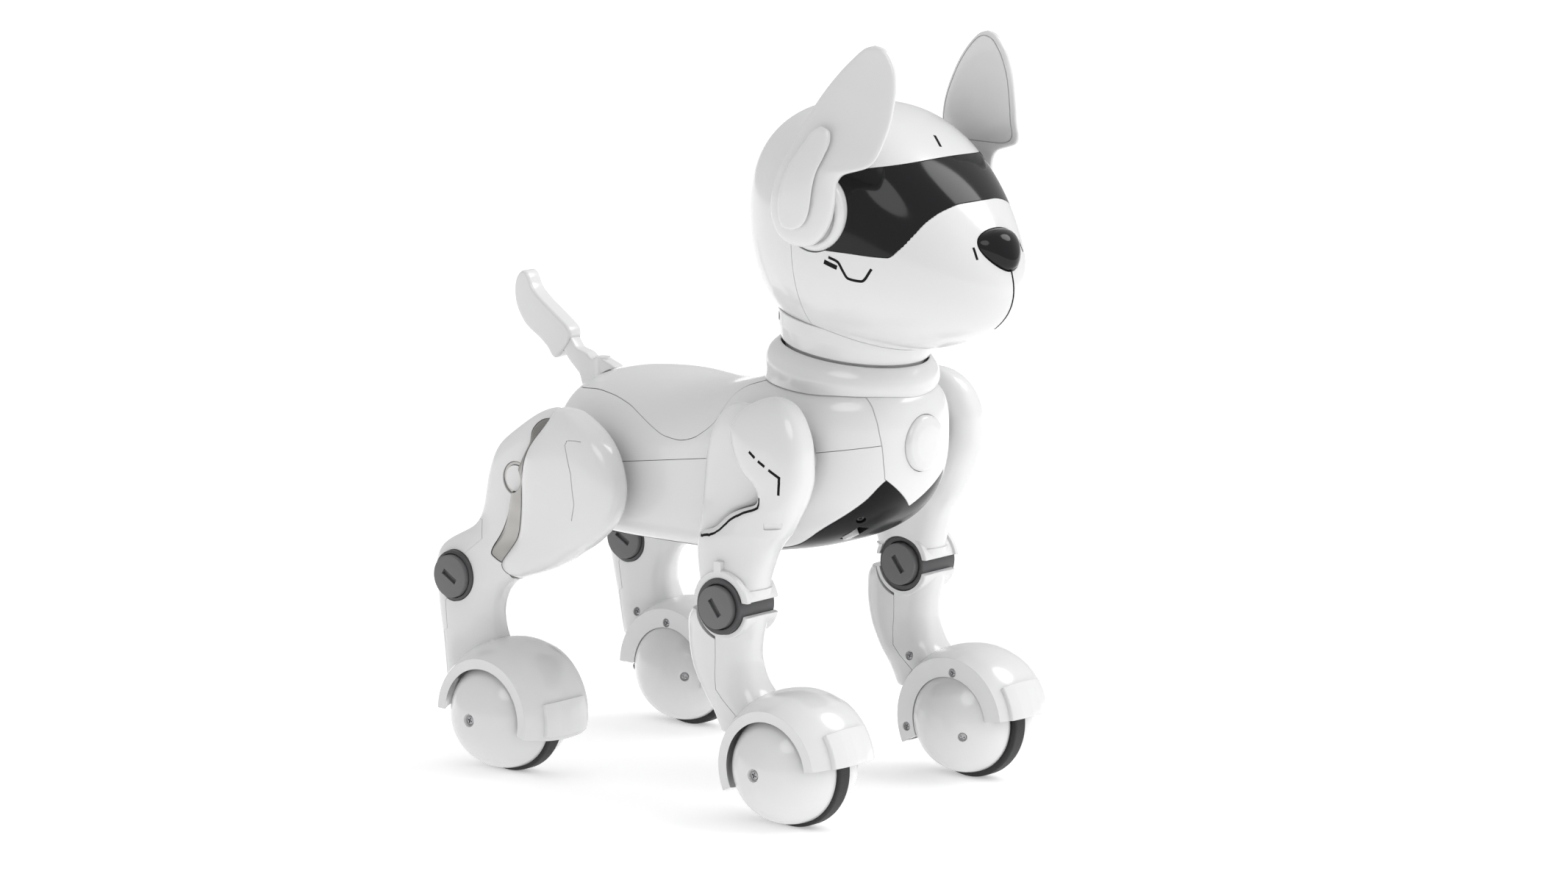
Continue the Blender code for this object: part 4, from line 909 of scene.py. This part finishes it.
def make_torso():
    outer, pan_outer, plate_outer = Form(torso_form(0)), Form(torso_form(-0.2)), Form(torso_form(0.2))
    whole, inside, plate_room = outer.shape, torso_form(-WALL), chest_zone(0)
    neck_hole = neck_turned(cylinder(24, -25, 20))
    bores = [rod(at, -50, 50, AXLE_BORE) for at in (SHOULDER, HIP)]
    tail_hole = turned(cylinder(3.4, -12, 12), (TAIL[0], 0, TAIL[1]), (0, 0, 1), 48)
    door, door_size = (-30, 0), np.array((44, 36))
    door_hole = block((*door, 90), (*(door_size + 2 * GAP), 8))
    switch_hole = moved(rotated(block((0, 0, 0), (11, 5.2, 14)), SWITCH_SLOPE, 0, 2), (66, -14, 102.5))

    upper = kept(cut(whole, inside, side_zone(SADDLE_EDGE, ABOVE, GAP), plate_room, neck_hole, tail_hole, *bores),
                 half_space(True, -GAP / 2))
    piece("torso_upper_shell", upper, WHITE, "torso", forms=[outer])
    lower = kept(cut(whole, inside, side_zone(PAN_EDGE, BELOW, 0), plate_room, *bores),
                 half_space(False, -GAP / 2))
    piece("torso_lower_shell", lower, WHITE, "torso", forms=[outer])
    saddle = kept(cut(whole, inside, neck_hole, tail_hole), side_zone(SADDLE_EDGE, ABOVE, 0))
    piece("saddle_cover", saddle, WHITE, "torso", forms=[outer])

    pan_screws = [pan_outer.onto(at) for at in ((72, -18, 110), (72, 18, 110), (-64, -22, 91), (-64, 22, 91))]
    pan = kept(cut(pan_outer.shape, inside, plate_room, door_hole, switch_hole,
                   *(screw_hole(spot, normal, 1.6) for spot, normal in pan_screws),
                   block((door[0] - 24, 0, BELLY), (5, 14, 4))), side_zone(PAN_EDGE, BELOW, -GAP))
    piece("belly_pan", pan, PAN_BLACK, "torso", forms=[pan_outer])
    for index, (spot, normal) in enumerate(pan_screws):
        detail(f"belly_screw_{index}", screw(spot - 0.8 * normal, normal, 1.5), DARK, "torso")

    button_hole = turned(cylinder(BUTTON + GAP, 60, 100), (0, 0, 137), (1, 0, 0), 96)
    chest = kept(cut(plate_outer.shape, inside, button_hole, neck_hole), chest_zone(-GAP))
    piece("chest_plate", chest, WHITE, "torso", forms=[plate_outer])

    collar_profile = [(28.4, -9), (31.2, -9), (31.6, 0), (32.5, 4), (31.4, 8), (28.2, 11.5), (27.4, 11.2),
                      (29.3, 6), (30, 2)]
    collar = neck_turned(smooth_loop(collar_profile, 72, 0.45))
    piece("neck_collar", cut(collar, torso_form(0.2 + GAP)), WHITE, "torso")

    door_shape = cut(plate(rounded(box_outline(*door, *door_size), 2, 6, True), 0, 2.6, 0.4, "up"),
                     *(bar((door[0] + 15, left, 0), (0, 0, -1), 1.2, 9, -0.6, 1, 90)
                       for left in (-4, -1.3, 1.4, 4.1)))
    piece("battery_door", moved(door_shape, (0, 0, BELLY)), PAN_BLACK, "torso")
    cells = joined(*(rod_along((-30, left, 103), (1, 0, 0), 7.2, 48) for left in (-7.4, 7.4)),
                   block((-30, 0, 97), (46, 28, 3)))
    piece("battery_pack", cells, WRAP, "torso")
    chips = [block((forward, left, 119.6), (length, width, 2.4)) for forward, left, length, width in
             ((-6, 4, 11, 11), (10, -8, 8, 5), (14, 9, 6, 6), (-16, -14, 6, 9), (24, -4, 5, 14))]
    board = joined(block((4, 0, 118), (52, 44, 1.6)), *chips)
    piece("main_board", board, BOARD, "torso")
    cone = rounded([(0, 0), (14, 0), (14, 3), (8, 8), (0, 8)], 0.6)
    piece("speaker", turned(cone, (8, 0, 96), (0, 0, 1), 64), DARK, "torso")
    for name, at in (("shoulder_axle", SHOULDER), ("hip_axle", HIP)):
        half = [(4, 47), (4, 40.6), (9.5, 40.4), (11, 38.2), (4, 36.4)]
        profile = [(0, -47), *((r, -h) for r, h in half), *half[::-1], (0, 47)]
        piece(name, turned(profile, (at[0], 0, at[1]), (0, 1, 0), 72), STEEL, "torso")

    button = rounded([(0, 81), (BUTTON, 81), (BUTTON, 88), (9.6, 89.2), (7, 90.1), (3.5, 90.5), (0, 90.6)], 0.6)
    piece("chest_button", turned(button, (0, 0, 137), (1, 0, 0), 96), WHITE, "button")
    knob = cut(block((0, 0, 0), (4.5, 4.4, 6)), *(block((f, 0, -3), (0.5, 5, 1)) for f in (-1.2, 0, 1.2)))
    knob = moved(rotated(knob, SWITCH_SLOPE, 0, 2), (63.2, -14, 103.6))
    piece("power_switch", knob, WHITE, "switch")


def make_tail():
    link = plate(rounded(TAIL_LINK, 0.8, 4, True), -2.8, 2.8, 0.7)
    for turn in range(-TAIL_SWING, TAIL_SWING + 1, 10):
        link = cut(link, moved(rotated(moved(torso_form(0.5), (-TAIL[0], 0, 0)), turn, 0, 1), (TAIL[0], 0, 0)))
    link = joined(link, turned(cylinder(3, -10, 2.5), (TAIL[0], 0, TAIL[1]), (0, 0, 1), 48))
    piece("tail_link", link, WHITE, "tail")
    paddle = plate(evened(smooth_loop(TAIL_PADDLE, 400, 0.4), 150, 10), -3.6, 3.6, 1.2, steps=7)
    paddle = cut(paddle, prism(np.array(TAIL_LINK) + (-0.1, 0.1), -2.85, 2.85))
    piece("tail_paddle", paddle, WHITE, "tail")


# Legs

def make_wheel(prefix, end, side):
    middle, axis = wheel_place(end, side), np.array([0, side, 0])
    half, body = TYRE_WIDTH / 2, f"{prefix}_wheel"
    edge = TYRE_RADIUS - 0.3
    tread = rounded([(20.1, -half), (edge, -half), (TYRE_RADIUS, 0.6 - half), (TYRE_RADIUS, half - 0.6),
                     (edge, half), (20.1, half)], 0.5)
    piece(f"{prefix}_tyre", turned(tread, middle, axis), RUBBER, body)
    outer = dome_arc(DOME_RADIUS, DOME_REACH, half + GAP, 2.5, 32)
    inner = dome_arc(18.6, 22.5, -half, 3)
    profile = [(0, -12), (SHAFT_RADIUS, -12), *inner[::-1], (19.8, -half), (19.8, half + GAP), *outer,
               (2.35, DOME_REACH - 0.5), (2.2, DOME_REACH - 1.6), (0, DOME_REACH - 1.6)]
    piece(f"{prefix}_wheel_dome", turned(profile, middle, axis), WHITE, body)
    detail(f"{prefix}_wheel_screw", screw(middle + (DOME_REACH - 0.9) * axis, axis, 1.75), STEEL, body)


def make_motor_cover(prefix, end, side, body):
    """The fixed inner dome that hides the wheel's motor, with its screw."""
    rim, bore = -TYRE_WIDTH / 2 - 0.8, SHAFT_RADIUS + 0.4
    profile = [(0, -13), (bore, -13), (bore, rim), (20.8, rim), *dome_arc(20.8, -COVER_REACH, rim, 0, 32)[1:]]
    middle = wheel_place(end, side)
    cover = Form(turned(profile, middle, (0, side, 0)))
    ahead = 10.1 if end > 0 else 12.4
    spot, normal = cover.onto(middle + (ahead, -side * 19, -3.1 if end > 0 else 0.3))
    piece(f"{prefix}_motor_cover", cut(cover.shape, screw_hole(spot, normal, 1.5)), WHITE, body,
          forms=[cover])
    detail(f"{prefix}_motor_screw", screw(spot - 0.7 * normal, normal, 1.5), STEEL, body)


def flange_screws(prefix, end, side, body, shell):
    """Screws through a fender's inner flange; gives the shell with their holes."""
    places = ((1.6, 19.3), (-20.3, -4.4)) if end > 0 else ((-0.5, 19.3), (-17.2, -0.5))
    for index, (ahead, up) in enumerate(places):
        spot, axis = wheel_place(end, side) + (ahead, -side * 15, up), (0, -side, 0)
        shell = cut(shell, screw_hole(spot, axis, SCREW))
        detail(f"{prefix}_flange_screw_{index}", screw(spot + (0, side * 0.6, 0), axis, SCREW), STEEL, body)
    return shell


def fendered(shape, spine, end, side, *more):
    """A lower limb cut for its rear cover and its wheel, with its fender joined on."""
    flange = [(17.4, -15), (24.4, -15), (24.4, -12.6), (17.8, -12.6)]
    shape = cut(shape, prism(np.array(spine) + (GAP, 0.1), *span(side, 30, 75)), wheel_bay(end, side))
    fender = arch(end, side, [*smooth_rows(FENDER_OUTER, 22, 0.05), *smooth_rows(FENDER_INNER, 16, 0.05)])
    return joined(shape, fender, arch(end, side, flange, 0.5), toe_block(end, side), *more)


def make_front_leg(name, side):
    upper, lower = f"{name}_upper_arm", f"{name}_forearm"
    bore, barrel_room = rod(SHOULDER, -50, 50, AXLE_BORE), rod(ELBOW, *span(side, 38, 70), BARREL + GAP, 96)
    arm_form, back_form = Form(limb(ARM, side)), Form(limb(ARM_BACK, side, squareness=3.2))
    yoke = [(8, 43), (12, 43), (12.4, 43.4), (12.4, 60.6), (12, 61), (8, 61)]
    lip = [(8, 60), (13.3, 60), (13.3, 61.6), (12.9, 62), (8, 62)]
    arm = joined(arm_form.shape, half_ring(side, 8, 174, yoke), half_ring(side, 8, 174, lip),
                 cut(limb(ARM, side, grow=0.6), block((ELBOW[0], side * 52, 130), (90, 60, 88.2))),
                 block((ELBOW[0] - 1.5, side * 59.5, 93.5), (3.4, 5, 5)))
    spot, normal = arm_form.onto((63.5, side * 58.5, 110.4))
    arm = cut(arm, limb(ARM_BACK, side, squareness=3.2, grow=GAP), barrel_room, bore,
              block((ELBOW[0], side * 52, 70), (60, 40, 24)), bar(spot, normal, 7, 2.4, -0.8, 1, 4 * side))
    piece(f"{name}_arm_cover", arm, WHITE, upper, forms=[arm_form])
    piece(f"{name}_arm_back", cut(back_form.shape, bore), WHITE, upper, forms=[back_form])
    lines = {
        "arm_line": [(55.5, 120.9), (56, 118.1), (51.4, 116.6), (48.2, 115.5), (44.6, 113.6), (39.5, 110),
                     (36, 107.2), (33.4, 105.3), (26.6, 104.5)],
        "arm_dash_0": [(52.9, 137.9), (55.8, 135.9)], "arm_dash_1": [(57.4, 134.9), (60.6, 133.2)],
        "arm_dash_2": [(62.5, 132.2), (67.5, 129.7), (67, 123)],
    }
    for line, path in lines.items():
        detail(f"{name}_{line}", drawn(arm_form, beside(side, 60, path), 1, -0.2, 0.06), PRINT, upper,
               forms=[arm_form])

    barrel = [(0, 44.6), (8.4, 44.6), (8.4, 43.4), (BARREL, 43.4), (BARREL, 63), (8.4, 63), (8.4, 61.6), (0, 61.6)]
    piece(f"{name}_elbow_barrel", turned(rounded(barrel, 0.4), (ELBOW[0], 0, ELBOW[1]), (0, side, 0)), DARK, upper,
          node=f"{name}_elbow_pivot")
    joint_discs(name, "elbow", ELBOW, side, 8, (("outer", 61.8, 65.2, -52), ("inner", -44.4, -41.2, 52)), upper)

    form = Form(limb(FOREARM, side))
    spot, normal = form.onto((47.9, side * 40, 45.2))
    forearm = cut(fendered(form.shape, FOREARM_SPINE, 1, side, half_ring(side, 192, 345, yoke)), barrel_room,
                  screw_hole(spot, normal, SCREW))
    forearm = flange_screws(f"{name}_front", 1, side, lower, forearm)
    piece(f"{name}_forearm", forearm, WHITE, lower, forms=[form])
    room = [(6, 42), (13.2, 42), (13.2, 62), (6, 62)]
    cover = cut(kept(form.shape, prism(FOREARM_SPINE, *span(side, 30, 75))), barrel_room,
                half_ring(side, 185, 357, room), arch_room(1, side))
    piece(f"{name}_forearm_back", cover, WHITE, lower, forms=[form])
    detail(f"{name}_forearm_screw", screw(spot - 0.6 * normal, normal, SCREW), STEEL, lower)
    make_motor_cover(f"{name}_front", 1, side, lower)
    make_wheel(f"{name}_front", 1, side)


def joint_discs(name, joint, place_of, side, radius, faces, body):
    """The slotted discs on a joint's faces, each (which, low, high, slot's tilt); one below zero faces inwards."""
    at = np.array([place_of[0], 0, place_of[1]])
    for where, low, high, tilt in faces:
        axis = np.array([0, side if high > 0 else -side, 0])
        low, high = (low, high) if high > 0 else (-abs(low), -abs(high))
        disc = turned(rounded([(0, low), (radius, low), (radius, high), (0, high)], 0.5), at, axis)
        disc = cut(disc, bar(at + high * axis, axis, 7.4, 2.2, -1.4, 1, tilt * side))
        detail(f"{name}_{where}_{joint}_disc", disc, GREY, body)


def tab(side, radius, inner, outer):
    return rod(THIGH_TAB, *span(side, inner, outer), radius)


def make_rear_leg(name, side):
    body = f"{name}_rear_leg"
    thigh_form, trim_form = Form(limb(THIGH, side)), Form(limb(TRIM, side, squareness=3.2))
    panel = [(-29, 133.9), (-36.6, 132.6), (-37.4, 130.4), (-33.6, 119.6), (-32, 107.8), (-33.6, 101.2)]
    groove = drawn(thigh_form, beside(side, 62, panel), 0.3, -0.35, 1)
    thigh = cut(joined(thigh_form.shape, tab(side, TAB_RADIUS, 45, 53.4)), rod(HIP, -50, 50, AXLE_BORE), groove)
    piece(f"{name}_thigh_cover", thigh, WHITE, body, forms=[thigh_form])
    thigh_room = joined(limb(THIGH, side, grow=GAP), tab(side, TAB_RADIUS + GAP, 44.6, 60))
    bow = TAB_RADIUS + 1.3
    trim = cut(joined(trim_form.shape, tab(side, bow, 47, 52.9)), thigh_room)
    trim_room = joined(limb(TRIM, side, squareness=3.2, grow=GAP), tab(side, bow + GAP, 46.6, 61))
    piece(f"{name}_thigh_trim", trim, CHROME, body, forms=[trim_form])

    form, disc_room = Form(limb(LEG, side)), rod(HOCK, *span(side, 38, 70), HUB + GAP, 96)
    spot, normal = form.onto((-89.8, side * 40, 43.9))
    leg = cut(fendered(form.shape, LEG_SPINE, -1, side), thigh_room, trim_room, disc_room)
    leg = flange_screws(f"{name}_rear", -1, side, body, cut(leg, screw_hole(spot, normal, SCREW)))
    piece(f"{name}_leg_shell", leg, WHITE, body, forms=[form])
    detail(f"{name}_leg_screw", screw(spot - 0.6 * normal, normal, SCREW), STEEL, body)
    spine = cut(kept(form.shape, prism(LEG_SPINE, *span(side, 30, 75))), disc_room, arch_room(-1, side))
    piece(f"{name}_leg_spine", spine, WHITE, body, forms=[form])
    hub = [(0, 43), (8.5, 43), (8.5, 41.8), (HUB, 42.3), (HUB, 57), (8.5, 57.6), (8.5, 56.2), (0, 56.2)]
    piece(f"{name}_hock_cap", turned(rounded(hub, 0.3), (HOCK[0], 0, HOCK[1]), (0, side, 0)), DARK, body)
    joint_discs(name, "hock", HOCK, side, 8.2, (("outer", 56.4, 59.4, -30), ("inner", -42.8, -40, 30)), body)
    make_motor_cover(f"{name}_rear", -1, side, body)
    make_wheel(f"{name}_rear", -1, side)


# Studio

def look(obj, position, target):
    obj.location = position
    obj.rotation_euler = (Vector(target) - Vector(position)).to_track_quat("-Z", "Y").to_euler()
    bpy.context.scene.collection.objects.link(obj)


def lamp(kind, name, energy, heading, height, distance, target):
    """A light at a heading and a height in degrees from the toy, looking at the target."""
    light = bpy.data.lights.new(name, kind)
    light.energy = energy
    obj = bpy.data.objects.new(name, light)
    heading, height = np.radians((heading, height))
    way = Vector((np.cos(heading) * np.cos(height), np.sin(heading) * np.cos(height), np.sin(height)))
    look(obj, distance * way, target)
    return obj


def studio():
    scene = bpy.context.scene
    mesh = bpy.data.meshes.new("floor")
    mesh.from_pydata([(6 * x, 6 * y, 0) for x, y in CORNERS], [], [(0, 1, 2, 3)])
    pale = surface("floor", (0.90, 0.90, 0.90), 0.9, grain=60, relief=0, mottle_and_painted_reflection=0.002)
    filled(pale.node_tree.nodes["Principled BSDF"], Emission_Color=(1, 1, 1, 1), Emission_Strength=0.35)
    mesh.materials.append(pale)
    floor = bpy.data.objects.new("floor", mesh)
    scene.collection.objects.link(floor)

    world = bpy.data.worlds.new("studio")
    world.use_nodes = True
    filled(world.node_tree.nodes["Background"], Color=(1, 1, 1, 1), Strength=0.62)
    scene.world = world
    # Broad soft lights, kept out of reflections, and panels that only reflections show
    for name, energy, heading, height in (("front_light", 1.65, -50, 35), ("top_light", 0.5, 0, 85)):
        sun = lamp("SUN", name, energy, heading, height, 3, (0, 0, 0))
        sun.data.angle, sun.visible_glossy = np.radians(60), False
    panels = (("left_panel", 2, -145, 50, 0.6), ("right_panel", 2.4, -36, 48, 0.5))
    for name, energy, heading, height, wide in panels:
        panel = lamp("AREA", name, energy, heading, height, 1.2, (0, 0, 0.12))
        panel.data.shape, panel.data.size, panel.visible_diffuse = "DISK", wide, False

    turn, dip, distance = np.radians(40), np.radians(10.137), 2300
    aim = np.array([-2.2, 27, 123.7])
    sight = np.array([-np.sin(turn) * np.cos(dip), np.cos(turn) * np.cos(dip), -np.sin(dip)])
    camera = bpy.data.cameras.new("camera")
    camera.lens, camera.sensor_width, camera.clip_start, camera.clip_end = 139.02, 36, 0.05, 40
    view = bpy.data.objects.new("camera", camera)
    look(view, Vector(place(aim - distance * sight)[0]), Vector(place(aim)[0]))
    scene.camera = view
    scene.view_settings.view_transform = "Standard"


make_head()
make_torso()
make_tail()
for name, side in SIDES:
    make_front_leg(name, side)
    make_rear_leg(name, side)
studio()
